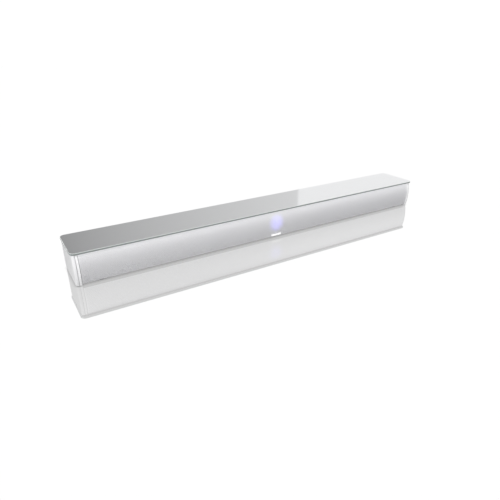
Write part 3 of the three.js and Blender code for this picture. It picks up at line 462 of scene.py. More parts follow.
def cap_levels(side):
    """A cap's outlines from its bottom to its top."""
    low, high = cap_low.z, cap_high.z
    heights = steps_between(low + CAP_BREAK, high - CAP_BREAK, CAP_STEPS)
    rings = [cap_outline(low, side, CAP_BREAK)]
    rings += [cap_outline(z, side, 0.0) for z in heights]
    return rings + [cap_outline(high, side, CAP_BREAK)]


for side, word in ((-1, "left"), (1, "right")):
    cap = mesh_object(f"cap_{word}", loft(f"cap_{word}", cap_levels(side)), "silver_lacquer")
    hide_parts(f"end_cap_{word}")
    print(cap.name, len(cap.data.polygons), "faces")

# %% [markdown]
# ## Trim strips
# A narrow polished strip stands between each cap and the grille, beside the cap's groove. It is
# the arc's own slice, drawn along X, with its two front edges broken so they glint.

# %% Make the trim strips
STRIP_STEPS = 36
STRIP_BREAK = 0.5


def strip_slice(x, low, high, back, behind):
    """The strip's outline across X: the arc in front and a flat back."""
    front = [(x, bow_front(z, behind), z) for z in steps_between(low, high, STRIP_STEPS)]
    return front + [(x, back, high), (x, back, low)]


for side, word in ((-1, "left"), (1, "right")):
    low, high = box_mm(f"trim_strip_{word}")
    places = [(low.x, STRIP_BREAK), (low.x + STRIP_BREAK, 0.0),
              (high.x - STRIP_BREAK, 0.0), (high.x, STRIP_BREAK)]
    rings = [strip_slice(x, low.z, high.z, high.y, behind) for x, behind in places]
    strip = mesh_object(f"strip_{word}", loft(f"strip_{word}", rings), "bright_trim")
    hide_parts(f"trim_strip_{word}")
print("strips", low.x, high.x)

# %% [markdown]
# ## The glass top
# The top is a pane of float glass, silvered on its underside. Seen from above it is a mirror, and
# seen from the edge it is green, because the light has come the long way through it. Modelling
# true refraction in a pane this thin costs a lot of noise for little, so the pane is one solid
# with a mirror for its face, a dark grey-green for its ground edge and, between them, a paler
# green that is a painted glint on the arris.

# %% Make the glass pane
PANE_RADIUS = 10.0
PANE_ARRIS = 0.5
PANE_ROUND_STEPS = 12
LEVEL, UPRIGHT = 0.9, 0.3  # a normal's z: more is the pane's face, and less is its edge
pane_low, pane_high = box_mm("glass_top")


def pane_outline(z, drawn_in):
    """The pane's outline at a height: a rectangle with round corners."""
    x, y = pane_high.x - PANE_RADIUS, pane_high.y - PANE_RADIUS
    radius = PANE_RADIUS - drawn_in
    flat = []
    for cx, cy, start in ((x, y, 0), (-x, y, 90), (-x, -y, 180), (x, -y, 270)):
        flat += quarter(cx, cy, radius, start, PANE_ROUND_STEPS)
    return [(px, py, z) for px, py in flat]


pane_rings = [
    pane_outline(pane_low.z, PANE_ARRIS),
    pane_outline(pane_low.z + PANE_ARRIS, 0.0),
    pane_outline(pane_high.z - PANE_ARRIS, 0.0),
    pane_outline(pane_high.z, PANE_ARRIS),
]
edge_glass = finish("edge_glass", (0.25, 0.275, 0.27), 0.12, scale=120, contrast=0.15,
                    spread=0.05, bump=0.0, dust=0.0, coat=1.0, coat_roughness=0.05)
# painted glint: the arris is coloured a paler green than the edge, standing in for light caught on
# the chamfer
arris_painted_glint = finish("arris_painted_glint", (0.62, 0.66, 0.65), 0.16, scale=300, contrast=0.1,
                     spread=0.08, bump=0.0, dust=0.0, coat=1.0, coat_roughness=0.05)
pane = mesh_object("glass_pane", loft("glass_pane", pane_rings), "silver_glass")
pane.data.materials.append(edge_glass)
pane.data.materials.append(arris_painted_glint)
for face in pane.data.polygons:
    rise = abs(face.normal.z)
    face.material_index = 0 if rise > LEVEL else (1 if rise < UPRIGHT else 2)
    face.use_smooth = rise < LEVEL
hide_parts("glass_top")
print("pane faces", len(pane.data.polygons))

# %% [markdown]
# ## The perforated grille
# The grille is a punched sheet: thousands of small holes in staggered rows, with a plain border.
# Geometry Nodes suit it, because the holes are one rule repeated. A flat sheet with openings could
# be filled from curves, which is slow for so many. Here a grid is staggered into triangles and
# turned into its dual, which is a honeycomb. Each whole cell is inset and its middle is deleted.
# The cells at the rim stay whole and make the border. The sheet gets its thickness while flat, and
# is bent to the bow last.

# %% Helpers for geometry trees
SHEET_INPUTS = ("Width", "Height", "Pitch", "Hole Radius", "Margin", "Thickness", "Bow Radius",
                "Bow Y", "Bow Z", "Lean")


def new_geometry_tree(name, inputs):
    """An empty Geometry Nodes tree with named number inputs and a material."""
    tree = bpy.data.node_groups.new(name, "GeometryNodeTree")
    tree.interface.new_socket("Geometry", in_out="INPUT", socket_type="NodeSocketGeometry")
    for socket in inputs:
        tree.interface.new_socket(socket, in_out="INPUT", socket_type="NodeSocketFloat")
    tree.interface.new_socket("Material", in_out="INPUT", socket_type="NodeSocketMaterial")
    tree.interface.new_socket("Geometry", in_out="OUTPUT", socket_type="NodeSocketGeometry")
    return tree, tree.nodes.new("NodeGroupInput").outputs, tree.nodes.new("NodeGroupOutput")


def compared(tree, operation, a, b):
    """A true or false value from comparing two numbers."""
    return node(tree, "FunctionNodeCompare", {0: a, 1: b}, operation=operation).outputs[0]


def vector(tree, x, y, z):
    """Three numbers as one vector."""
    return node(tree, "ShaderNodeCombineXYZ", {0: x, 1: y, 2: z}).outputs[0]


def position(tree):
    """Each point's X, Y and Z as separate numbers."""
    place = node(tree, "GeometryNodeInputPosition").outputs[0]
    return node(tree, "ShaderNodeSeparateXYZ", {0: place}).outputs


def delivered(tree, geometry, material, end):
    """Ends a tree: instances made real, and the material set."""
    real = node(tree, "GeometryNodeRealizeInstances", {0: geometry}).outputs[0]
    painted = node(tree, "GeometryNodeSetMaterial", {"Geometry": real, "Material": material})
    tree.links.new(painted.outputs[0], end.inputs[0])


# %% Build the grille's tree
def staggered_grid(tree, size):
    """Rows of points, every second row moved by half a pitch, with both ends kept straight."""
    wide, high, pitch = size["Width"], size["Height"], size["Pitch"]
    row = maths(tree, "MULTIPLY", pitch, math.sqrt(3) / 2)
    columns = maths(tree, "ADD", maths(tree, "ROUND", maths(tree, "DIVIDE", wide, pitch)), 1.0)
    rows = maths(tree, "ADD", maths(tree, "ROUND", maths(tree, "DIVIDE", high, row)), 1.0)
    grid = node(tree, "GeometryNodeMeshGrid", {"Size X": wide, "Size Y": high,
                                               "Vertices X": columns, "Vertices Y": rows})
    index = node(tree, "GeometryNodeInputIndex").outputs[0]
    column = maths(tree, "FLOOR", maths(tree, "DIVIDE", maths(tree, "ADD", index, 0.5), rows))
    odd = maths(tree, "MODULO", maths(tree, "MODULO", index, rows), 2.0)
    inside = maths(tree, "MULTIPLY", maths(tree, "GREATER_THAN", column, 0.5),
                   maths(tree, "LESS_THAN", column, maths(tree, "SUBTRACT", columns, 1.5)))
    slide = maths(tree, "MULTIPLY", maths(tree, "SUBTRACT", odd, 0.5),
                  maths(tree, "MULTIPLY", pitch, 0.5))
    moved = vector(tree, maths(tree, "MULTIPLY", slide, inside), 0.0, 0.0)
    return node(tree, "GeometryNodeSetPosition",
                {"Geometry": grid.outputs["Mesh"], "Offset": moved}).outputs[0]


def honeycomb(tree, size):
    """The staggered grid's dual: one six-sided cell about each point."""
    halves = node(tree, "GeometryNodeTriangulate", {"Mesh": staggered_grid(tree, size)})
    halves.quad_method = "SHORTEST_DIAGONAL"
    return node(tree, "GeometryNodeDualMesh",
                {"Mesh": halves.outputs[0], "Keep Boundaries": True}).outputs[0]


def punched(tree, cells, size):
    """Insets each cell inside the margins and deletes its middle, which leaves a hole."""
    place = position(tree)
    across = maths(tree, "ADD", maths(tree, "ABSOLUTE", place["X"]), size["Margin"])
    up = maths(tree, "ADD", maths(tree, "ABSOLUTE", place["Y"]), size["Margin"])
    fits_across = compared(tree, "LESS_THAN", across, maths(tree, "MULTIPLY", size["Width"], 0.5))
    fits_up = compared(tree, "LESS_THAN", up, maths(tree, "MULTIPLY", size["Height"], 0.5))
    chosen = node(tree, "FunctionNodeBooleanMath", {0: fits_across, 1: fits_up}).outputs[0]
    inset = node(tree, "GeometryNodeExtrudeMesh",
                 {"Mesh": cells, "Selection": chosen, "Offset Scale": 0.0, "Individual": True})
    cell = maths(tree, "DIVIDE", size["Pitch"], math.sqrt(3))
    shrunk = node(tree, "GeometryNodeScaleElements",
                  {"Geometry": inset.outputs["Mesh"], "Selection": inset.outputs["Top"],
                   "Scale": maths(tree, "DIVIDE", size["Hole Radius"], cell)})
    return node(tree, "GeometryNodeDeleteGeometry",
                {"Geometry": shrunk.outputs[0], "Selection": inset.outputs["Top"]},
                domain="FACE").outputs[0]


SHEET_WELD = 1e-6


def thickened(tree, sheet, thickness):
    """Gives a flat sheet its second face and its rims, and welds them into one shell."""
    raised = node(tree, "GeometryNodeExtrudeMesh",
                  {"Mesh": sheet, "Offset Scale": thickness, "Individual": False})
    under = node(tree, "GeometryNodeFlipFaces", {0: sheet})
    both = node(tree, "GeometryNodeJoinGeometry")
    tree.links.new(raised.outputs[0], both.inputs[0])
    tree.links.new(under.outputs[0], both.inputs[0])
    return node(tree, "GeometryNodeMergeByDistance",
                {"Geometry": both.outputs[0], "Distance": SHEET_WELD}).outputs[0]


def bent(tree, sheet, size):
    """Wraps the sheet round the bow: up the sheet becomes an angle, and depth a radius."""
    place, radius = position(tree), size["Bow Radius"]
    angle = maths(tree, "ADD", maths(tree, "DIVIDE", place["Y"], radius), size["Lean"])
    reach = maths(tree, "ADD", radius, place["Z"])
    depth = maths(tree, "SUBTRACT", size["Bow Y"],
                  maths(tree, "MULTIPLY", reach, maths(tree, "COSINE", angle)))
    height = maths(tree, "MULTIPLY_ADD", reach, maths(tree, "SINE", angle), size["Bow Z"])
    wrapped = vector(tree, place["X"], depth, height)
    return node(tree, "GeometryNodeSetPosition",
                {"Geometry": sheet, "Position": wrapped}).outputs[0]


sheet_tree, size, sheet_end = new_geometry_tree("perforated_sheet", SHEET_INPUTS)
flat_sheet = punched(sheet_tree, honeycomb(sheet_tree, size), size)
solid_sheet = thickened(sheet_tree, flat_sheet, size["Thickness"])
delivered(sheet_tree, bent(sheet_tree, solid_sheet, size), size["Material"], sheet_end)
print("grille tree nodes", len(sheet_tree.nodes))

# %% [markdown]
# A modifier holds the sizes, each set by its socket's identifier. The evaluated result becomes a
# plain mesh, and the modifier goes with the object it was on.


# %% Turn a tree into a plain mesh
def made_by(tree, name, values, start=None):
    """The plain mesh that a Geometry Nodes tree gives for these input values."""
    maker = bpy.data.objects.new(name + "_maker", start or bpy.data.meshes.new(name + "_maker"))
    bpy.context.scene.collection.objects.link(maker)
    modifier = maker.modifiers.new("maker", "NODES")
    modifier.node_group = tree
    for item in tree.interface.items_tree:
        if item.item_type == "SOCKET" and item.in_out == "INPUT" and item.name in values:
            modifier[item.identifier] = values[item.name]
    ready = bpy.context.evaluated_depsgraph_get()
    mesh = bpy.data.meshes.new_from_object(maker.evaluated_get(ready), depsgraph=ready)
    bpy.data.objects.remove(maker)
    mesh.name = name
    return mesh


def triangles(mesh):
    """How many triangles a mesh's faces come to."""
    return sum(len(f.vertices) - 2 for f in mesh.polygons)


# %% Make the grille
GRILLE_THICKNESS = 0.8
HOLE_PITCH = 3.4
HOLE_RADIUS = 1.0
PLAIN_BORDER = 0.8 * HOLE_PITCH
upper_arc = math.asin((grille_high.z - bow_z) / bow_radius)
lower_arc = math.asin((bow_z - grille_low.z) / bow_radius)
inner_radius = bow_radius - GRILLE_THICKNESS
sheet_values = {
    "Width": (grille_high.x - grille_low.x) * MM,
    "Height": (upper_arc + lower_arc) * inner_radius * MM,
    "Pitch": HOLE_PITCH * MM,
    "Hole Radius": HOLE_RADIUS * MM,
    "Margin": PLAIN_BORDER * MM,
    "Thickness": GRILLE_THICKNESS * MM,
    "Bow Radius": inner_radius * MM,
    "Bow Y": bow_y * MM,
    "Bow Z": bow_z * MM,
    "Lean": (upper_arc - lower_arc) / 2,
    "Material": finishes["silver_mesh"],
}
grille_mesh = made_by(sheet_tree, "grille_sheet", sheet_values)
grille = mesh_object("grille_sheet", grille_mesh, "silver_mesh")
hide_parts("front_grille")
spread = [v.co / MM for v in grille_mesh.vertices]
print("grille", triangles(grille_mesh), "triangles, y and z from",
      [round(f(p[i] for p in spread), 2) for i in (1, 2) for f in (min, max)])

# %% [markdown]
# ## Cloth behind the grille
# Thin sound cloth is stretched behind the grille, so that the drivers and the dark baffle don't
# show through the holes. It follows the same bow, a little behind the sheet. The soft spot on the
# front of the bar is a painted glow: the cloth gives off blue light round the display's middle,
# standing in for the display's light spreading in the weave.

# %% Finish of the cloth, with its painted glow
# painted glow: the cloth emits this blue round the display's middle, standing in for the display's
# light
PAINTED_DISPLAY_GLOW = (0.30, 0.28, 1.0)
GLOW_STRENGTH = 2.0
GLOW_CORE, GLOW_REACH = 0.006, 0.03  # full glow up to here, and none beyond there
lens_middle = middle_mm("display_module") * MM


def cloth_with_painted_glow():
    """Pale cloth with a fine grain, and a painted glow round the middle of the display."""
    material = finish("sound_cloth", (0.8, 0.8, 0.81), 0.95, scale=700, contrast=0.2,
                      bump=0.00004, dust=0.0, sheen=0.3)
    tree = material.node_tree
    shader = tree.nodes["Principled BSDF"]
    place = node(tree, "ShaderNodeTexCoord").outputs["Object"]
    away = node(tree, "ShaderNodeVectorMath", {0: place, 1: lens_middle}, operation="DISTANCE")
    near = node(tree, "ShaderNodeMapRange",
                {"Value": away.outputs["Value"], "From Min": GLOW_CORE, "From Max": GLOW_REACH,
                 "To Min": 1.0, "To Max": 0.0}, interpolation_type="SMOOTHERSTEP")
    lit = node(tree, "ShaderNodeVectorMath", {0: PAINTED_DISPLAY_GLOW, "Scale": near.outputs[0]},
               operation="SCALE")
    tree.links.new(lit.outputs[0], shader.inputs["Emission Color"])
    shader.inputs["Emission Strength"].default_value = GLOW_STRENGTH
    return material


# %% Make the cloth
CLOTH_BEHIND = 0.95
CLOTH_THICKNESS = 0.1
CLOTH_INSET = 0.3
CLOTH_ROWS, CLOTH_COLUMNS = 30, 40
frame_low, frame_high = box_mm("grille_frame")
cloth_low, cloth_high = frame_low.z + CLOTH_INSET, frame_high.z - CLOTH_INSET


def cloth_slice(x):
    """The cloth's section across X: the front face up, and the back face down again."""
    heights = steps_between(cloth_low, cloth_high, CLOTH_ROWS)
    front = [(x, bow_front(z, CLOTH_BEHIND), z) for z in heights]
    back = [(x, bow_front(z, CLOTH_BEHIND + CLOTH_THICKNESS), z) for z in reversed(heights)]
    return front + back


cloth_rings = [cloth_slice(x)
               for x in steps_between(frame_low.x, frame_high.x, CLOTH_COLUMNS)]
cloth = mesh_object("sound_cloth", loft("sound_cloth", cloth_rings), None,
                    material=cloth_with_painted_glow())

# %% [markdown]
# ## Badge and display digits
# A blank enamelled plate sits low on the grille, with fully round ends, and it follows the bow.
# A little painted glow keeps its white bright in the shade.
# A figure of the display has up to seven lit bars, and a bar is a lozenge, the shape that lets two
# bars meet at a corner with a thin gap. The bars lie between cloth and grille, so they stay sharp
# and the holes break them up.

# %% Make the badge
badge_low, badge_high = box_mm("badge_plate")
BADGE_BREAK, BADGE_DEPTH = 0.25, 0.75
ENAMEL_PAINTED_GLOW = 0.35  # painted glow: the enamel is given a little emission, so it stays bright in the shade


def badge_outline(behind, drawn_in):
    """A long plate with round ends, laid on the bow at a depth behind its face."""
    half_h = (badge_high.z - badge_low.z) / 2
    middle_z = (badge_high.z + badge_low.z) / 2
    straight = badge_high.x - half_h
    radius = half_h - drawn_in
    flat = quarter(straight, 0, radius, -90) + quarter(straight, 0, radius, 0)
    flat += quarter(-straight, 0, radius, 90) + quarter(-straight, 0, radius, 180)
    face = badge_low.y - bow_front(badge_high.z)
    return [(x, bow_front(middle_z + h) + face + behind, middle_z + h) for x, h in flat]


# painted glow on the badge: a white emission lifts it where it is shaded
enamel_shader = finishes["white_enamel"].node_tree.nodes["Principled BSDF"]
enamel_shader.inputs["Emission Color"].default_value = rgba(1.0)
enamel_shader.inputs["Emission Strength"].default_value = ENAMEL_PAINTED_GLOW
badge_rings = [badge_outline(0.0, BADGE_BREAK), badge_outline(BADGE_BREAK, 0.0),
               badge_outline(BADGE_DEPTH, 0.0)]
badge = mesh_object("badge", loft("badge", badge_rings), "white_enamel")
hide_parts("badge_plate")

# %% Make the digits
DIGIT_W, DIGIT_H, BAR_T, BAR_GAP = 6.0, 11.0, 1.1, 0.3
DIGIT_SHIFT = 5.2  # from the middle of the display to the middle of a figure
DIGITS_BEHIND, BAR_DEPTH = 0.88, 0.04
LAMP_COLOUR, LAMP_GLOW = (0.45, 0.42, 1.0), 1.6
BARS_LIT = {"2": "abged", "0": "abcdef"}


def bar_outline(a, b):
    """A lozenge from a to b in the plane of the display."""
    (ax, az), (bx, bz) = a, b
    length = math.hypot(bx - ax, bz - az)
    ux, uz = (bx - ax) / length, (bz - az) / length
    tip = BAR_T / 2
    near, far = BAR_GAP, length - BAR_GAP
    corners = [(near, 0), (near + tip, tip), (far - tip, tip),
               (far, 0), (far - tip, -tip), (near + tip, -tip)]
    return [(ax + ux * along - uz * aside, az + uz * along + ux * aside)
            for along, aside in corners]


def digit_bars(digit, x, z):
    """The lit bars of one figure, centred on x and z."""
    l, r, t, b = x - DIGIT_W / 2, x + DIGIT_W / 2, z + DIGIT_H / 2, z - DIGIT_H / 2
    ends = {"a": ((l, t), (r, t)), "b": ((r, t), (r, z)), "c": ((r, z), (r, b)),
            "d": ((l, b), (r, b)), "e": ((l, z), (l, b)), "f": ((l, t), (l, z)),
            "g": ((l, z), (r, z))}
    return [bar_outline(*ends[key]) for key in BARS_LIT[digit]]


lens = middle_mm("display_module")
bars = digit_bars("2", lens.x - DIGIT_SHIFT, lens.z)
bars += digit_bars("0", lens.x + DIGIT_SHIFT, lens.z)
points, faces = [], []
for outline in bars:
    start, n = len(points), len(outline)
    for behind in (DIGITS_BEHIND, DIGITS_BEHIND + BAR_DEPTH):
        points += [(x, bow_front(z, behind), z) for x, z in outline]
    faces += [list(range(start, start + n)), list(range(start + n, start + 2 * n))]
    faces += [[start + i, start + (i + 1) % n, start + n + (i + 1) % n, start + n + i]
              for i in range(n)]
lamp_bars = finish("lamp_bars", (0.3, 0.3, 0.9), 0.4, contrast=0.05, dust=0.0)
bars_shader = lamp_bars.node_tree.nodes["Principled BSDF"]
bars_shader.inputs["Emission Color"].default_value = rgba(LAMP_COLOUR)
bars_shader.inputs["Emission Strength"].default_value = LAMP_GLOW
mesh_object("display_digits", closed_mesh("display_digits", points, faces), None,
            material=lamp_bars)
print("badge and", len(bars), "bars")

# %% [markdown]
# ## Turned pieces
# Feet, reflex tubes, socket rings and drivers are all round. Turning one outline about an
# axis gives each of them in a few lines. An outline is closed, so the piece is a solid.

# %% Make the feet
GRIP = 0.35  # depth of the hollows in a pad's underside
for name in [n for n in nodes if n.startswith("foot_")]:
    low, high = box_mm(name)
    r, top = (high.x - low.x) / 2, high.z
    outline = [(0.0, GRIP), (r * 0.5, GRIP), (r * 0.55, 0.0), (r * 0.68, 0.0), (r * 0.72, GRIP),
               (r * 0.78, GRIP), (r * 0.82, 0.0), (r - 0.5, 0.0), (r - 0.1, 0.3), (r, 0.8),
               (r - 0.25, top), (0.0, top)]
    pad, middle = name.replace("foot_", "pad_"), middle_mm(name)
    foot = mesh_object(pad, turned(pad, outline, (middle.x, middle.y, 0.0), "Z"), "foot_rubber")
    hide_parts(name)

# %% [markdown]
# ## Drivers
# A woofer is a basket with a magnet, a paper cone with a dust cap and a voice coil, and a rubber
# half roll between the two. Each is one turned outline, measured back from the baffle's front.
# The half roll is glued to the flange in front and to the cone's rim behind, so it crosses the
# joint. Its outer part lies further forward than its inner lip.

# %% Draw the woofer
FLANGE, CONE_R, COIL_R, DUST_CAP_R = 3.0, 17.5, 7.9, 7.6
NECK_DEPTH = 4.6  # where the dust cap meets the cone
ROLL_MIDDLE = 19.75  # radius of the half roll's crest
arc_angles = [math.radians(15 * i) for i in range(7)]
half_turn = [math.radians(15 * i) for i in range(13)]
basket = [(0.0, 12.0), (6.6, 12.0), (6.6, 20.0), (8.9, 20.0), (8.9, 14.0), (16.5, 14.0),
          (20.0, 5.0), (20.4, -1.2), (22.0, -1.2), (22.0, -2.8), (22.2, -FLANGE), (25.2, -FLANGE),
          (25.5, -2.7), (25.5, -0.1), (23.0, -0.1), (22.6, 6.0), (18.0, 14.0), (18.0, 25.6),
          (17.6, 26.0), (0.0, 26.0)]
dust_cap = [(DUST_CAP_R * math.sin(a), NECK_DEPTH - 3.1 * math.cos(a)) for a in arc_angles]
flare_out = [(DUST_CAP_R + (CONE_R - DUST_CAP_R) * u,
              NECK_DEPTH - 7.0 * u - 0.5 * math.sin(math.pi * u))
             for u in steps_between(0.0, 1.0, 8)[1:]]
cap_inside = [(7.2 * math.sin(a), 6.2 - 3.9 * math.cos(a)) for a in reversed(arc_angles)]
paper_cone = dust_cap + flare_out + [(CONE_R, -1.6), (8.2, 6.0), (COIL_R, 6.4), (COIL_R, 16.5),
                                     (7.2, 16.5)] + cap_inside
roll_over = [(ROLL_MIDDLE + 2.0 * math.cos(a), -3.1 - 1.1 * math.sin(a)) for a in half_turn]
roll_under = [(ROLL_MIDDLE + 1.6 * math.cos(a), -3.02 - 0.68 * math.sin(a))
              for a in reversed(half_turn)]
half_roll = [(23.2, -3.02), (23.2, -3.3), (21.9, -3.35)] + roll_over
half_roll += [(17.62, -2.7), (17.6, -2.3), (17.6, -1.9), (17.6, -1.55), (16.9, -1.05),
              (17.0, -0.65), (18.0, -1.3), (18.0, -1.9), (18.02, -2.3), (18.1, -2.7)] + roll_under
print("woofer outlines", len(basket), len(paper_cone), len(half_roll))

# %% [markdown]
# A tweeter is a case with a shallow horn in front, and a silk dome that carries its own coil.

# %% Draw the tweeter
DOME_R, DOME_RISE, DOME_T = 12.5, 2.2, 0.5
DOME_FRONT = -0.6  # where the dome's rim lies, seen from the baffle's front
DOME_COIL_END = 4.4
dome_sphere = (DOME_R**2 + DOME_RISE**2) / (2 * DOME_RISE)


def dome_curve(reach, sphere):
    """The dome's section from its crown out to a radius."""
    middle = dome_sphere + DOME_FRONT - DOME_RISE
    return [(r, middle - math.sqrt(sphere**2 - r * r)) for r in steps_between(0.0, reach, 8)]


inner_dome = dome_curve(DOME_R - DOME_T, dome_sphere - DOME_T)
silk_dome = dome_curve(DOME_R, dome_sphere) + [(DOME_R, DOME_COIL_END),
                                               (DOME_R - DOME_T, DOME_COIL_END)]
silk_dome += list(reversed(inner_dome))
tweeter_case = [(0.0, 1.0), (11.4, 1.0), (11.4, 5.7), (13.1, 5.7), (13.1, -1.5), (14.5, -2.9),
                (14.8, -FLANGE), (17.6, -FLANGE), (18.0, -2.6), (18.0, -0.1), (15.0, -0.1),
                (15.0, 14.0), (0.0, 14.0)]
print("tweeter outlines", len(tweeter_case), len(silk_dome))

# %% [markdown]
# Every part of a driver takes the place of one CAD node and is turned about that node's middle.
# Cones and domes ride on bodies of their own, and the half rolls are left off any body.

# %% Turn the drivers
baffle_front = box_mm("front_baffle")[0].y
DRIVER_STEPS = 64


def driver_part(name, cad, outline, slot, body):
    """A turned part of a driver in place of its CAD node."""
    centre = middle_mm(cad)
    mesh = turned(name, outline, (centre.x, baffle_front, centre.z), "Y", DRIVER_STEPS)
    part = mesh_object(name, mesh, slot, body)
    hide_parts(cad)
    return part, centre


for cad in [n for n in nodes if n.startswith("woofer_cone_")]:
    tail = cad[len("woofer_cone_"):]
    driver_part(f"basket_{tail}", f"woofer_frame_{tail}", basket, "magnet_steel", "cabinet")
    driver_part(f"paper_cone_{tail}", cad, paper_cone, "cone_paper", f"cone_{tail}")
    roll, middle = driver_part(f"half_roll_{tail}", f"woofer_surround_{tail}", half_roll,
                               "surround_rubber", None)
    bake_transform(roll)
for side in ("left", "right"):
    driver_part(f"tweeter_case_{side}", f"tweeter_body_{side}", tweeter_case, "black_plastic",
                "cabinet")
    driver_part(f"silk_dome_{side}", f"tweeter_dome_{side}", silk_dome, "dome_silk",
                f"dome_{side}")
print("drivers turned about", baffle_front)

# %% [markdown]
# The reflex tubes end in a rounded flare on the back, which keeps the air from rushing there.

# %% Make the reflex tubes
BORE, WALL, FLARE = 13.0, 2.0, 3.0
RIM_DEPTH, RIM_BREAK = 1.2, 0.3
TUBE_STEPS = 72
for side in ("left", "right"):
    low, high = box_mm(f"reflex_port_{side}")
    centre = middle_mm(f"reflex_port_{side}")
    rim, face = (high.x - low.x) / 2, high.y
    flare = [(BORE + FLARE * (1 - math.cos(a)), face - FLARE * (1 - math.sin(a)))
             for a in (math.radians(10 * i) for i in range(10))]
    outline = [(BORE, low.y)] + flare + [(rim - RIM_BREAK, face), (rim, face - RIM_BREAK),
                                        (rim, face - RIM_DEPTH), (BORE + WALL, face - RIM_DEPTH),
                                        (BORE + WALL, low.y)]
    mesh = turned(f"tube_{side}", outline, (centre.x, 0.0, centre.z), "Y", TUBE_STEPS)
    tube = mesh_object(f"tube_{side}", mesh, "black_plastic")
    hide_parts(f"reflex_port_{side}")
print("tubes", rim, face)

# %% [markdown]
# ## Screws
# The back is held on by pan-head screws with a cross recess. They are all one shape, so a tree
# makes the head once, as a short cone with two slots cut from it, and stands it on each point of a
# small mesh that only marks the places. The instances are made real before the tree ends.

# %% Build the screw tree
HEAD_SIDES = 20
HEAD_TAPER = 0.72  # the head's top radius, as a share of its foot
SLOT_REACH = 1.1  # a slot's length, as a share of the head's radius
screw_tree, screw, screw_end = new_geometry_tree("pan_head_screws",
                                                 ("Radius", "Height", "Slot", "Depth"))
top = maths(screw_tree, "MULTIPLY", screw["Radius"], HEAD_TAPER)
head = node(screw_tree, "GeometryNodeMeshCone",
            {"Vertices": HEAD_SIDES, "Side Segments": 2, "Radius Top": top,
             "Radius Bottom": screw["Radius"], "Depth": screw["Height"]}).outputs["Mesh"]
reach = maths(screw_tree, "MULTIPLY", screw["Radius"], SLOT_REACH)
deep = maths(screw_tree, "MULTIPLY", screw["Depth"], 2.0)
lifted = vector(screw_tree, 0.0, 0.0, screw["Height"])
slotted = node(screw_tree, "GeometryNodeMeshBoolean", {"Mesh 1": head}, operation="DIFFERENCE")
for x, y in ((reach, screw["Slot"]), (screw["Slot"], reach)):
    bar = node(screw_tree, "GeometryNodeMeshCube", {"Size": vector(screw_tree, x, y, deep)})
    cutter = node(screw_tree, "GeometryNodeTransform",
                  {"Geometry": bar.outputs[0], "Translation": lifted})
    screw_tree.links.new(cutter.outputs[0], slotted.inputs["Mesh 2"])
stood = node(screw_tree, "GeometryNodeInstanceOnPoints",
             {"Points": screw["Geometry"], "Instance": slotted.outputs[0],
              "Rotation": (-math.pi / 2, 0.0, 0.0)})
delivered(screw_tree, stood.outputs[0], screw["Material"], screw_end)

# %% Put the screws in
LOW_ROW, HIGH_ROW = 14.5, 52.5
PORT_SCREW_ASIDE, PORT_SCREW_UP = 21, 14
back = box_mm("rear_board")[1].y
port = middle_mm("reflex_port_right")
rows = [(x, z) for x in (-432, -350, -270, 270, 350, 432) for z in (LOW_ROW, HIGH_ROW)]
rows += [(x, HIGH_ROW) for x in (-160, 160, -80, 80)]
rows += [(x, LOW_ROW) for x in (-160, 160)]
rows += [(side * (port.x + aside), port.z + up) for side in (-1, 1)
         for aside in (-PORT_SCREW_ASIDE, PORT_SCREW_ASIDE)
         for up in (-PORT_SCREW_UP, PORT_SCREW_UP)]
marks = bpy.data.meshes.new("screw_marks")
marks.from_pydata([(x * MM, back * MM, z * MM) for x, z in rows], [], [])
screw_mesh = made_by(screw_tree, "rear_screws", {
    "Radius": 2.3 * MM, "Height": 1.1 * MM, "Slot": 0.6 * MM, "Depth": 0.7 * MM,
    "Material": finishes["plated_steel"]}, marks)
mesh_object("rear_screws", screw_mesh, "plated_steel")
print("screws", len(rows), triangles(screw_mesh))

# %% [markdown]
# ## Marks on the keys and the switch
# The keys carry plain signs that anyone can read: plus, minus, an arrow up to a line for the
# source, and a broken ring for power. The switch has a stroke for on and a ring for off. Each sign
# is a thin raised plate that rides with its own key, or with the switch.

# %% Draw and raise the signs
sign_paint = finish("sign_paint", (0.8, 0.8, 0.8), 0.5, contrast=0.05, dust=0.0)
SIGN_SUNK, SIGN_RISE = 0.02, 0.15
SIGN_LINE = 0.5


def strokes(lines, width):
    """A flat outline for each straight stroke of a sign."""
    shapes = []
    for (ax, az), (bx, bz) in lines:
        length = math.hypot(bx - ax, bz - az)
        nx, nz = -(bz - az) / length * width / 2, (bx - ax) / length * width / 2
        shapes.append([(ax + nx, az + nz), (ax - nx, az - nz),
                       (bx - nx, bz - nz), (bx + nx, bz + nz)])
    return shapes


def ring_part(radius, width, start, end, count=16):
    """A part of a ring as one flat outline."""
    angles = [math.radians(start + (end - start) * i / count) for i in range(count + 1)]
    outside, inside = [[(r * math.cos(a), r * math.sin(a)) for a in angles]
                       for r in (radius + width / 2, radius - width / 2)]
    return outside + inside[::-1]


def raised_sign(name, shapes, place, body):
    """Flat outlines given a thickness, each point put in its place by a function."""
    points, faces = [], []
    for shape in shapes:
        start, n = len(points), len(shape)
        for rise in (-SIGN_SUNK, SIGN_RISE):
            points += [place(x, rise, z) for x, z in shape]
        faces += [[start + i, start + (i + 1) % n, start + n + (i + 1) % n, start + n + i]
                  for i in range(n)]
        caps = [[start + i, start + i + 1, start + n - 2 - i, start + n - 1 - i]
                for i in range(n // 2 - 1)]
        faces += caps + [[j + n for j in cap] for cap in caps]
    return mesh_object(name, closed_mesh(name, points, faces), None, body, sign_paint)


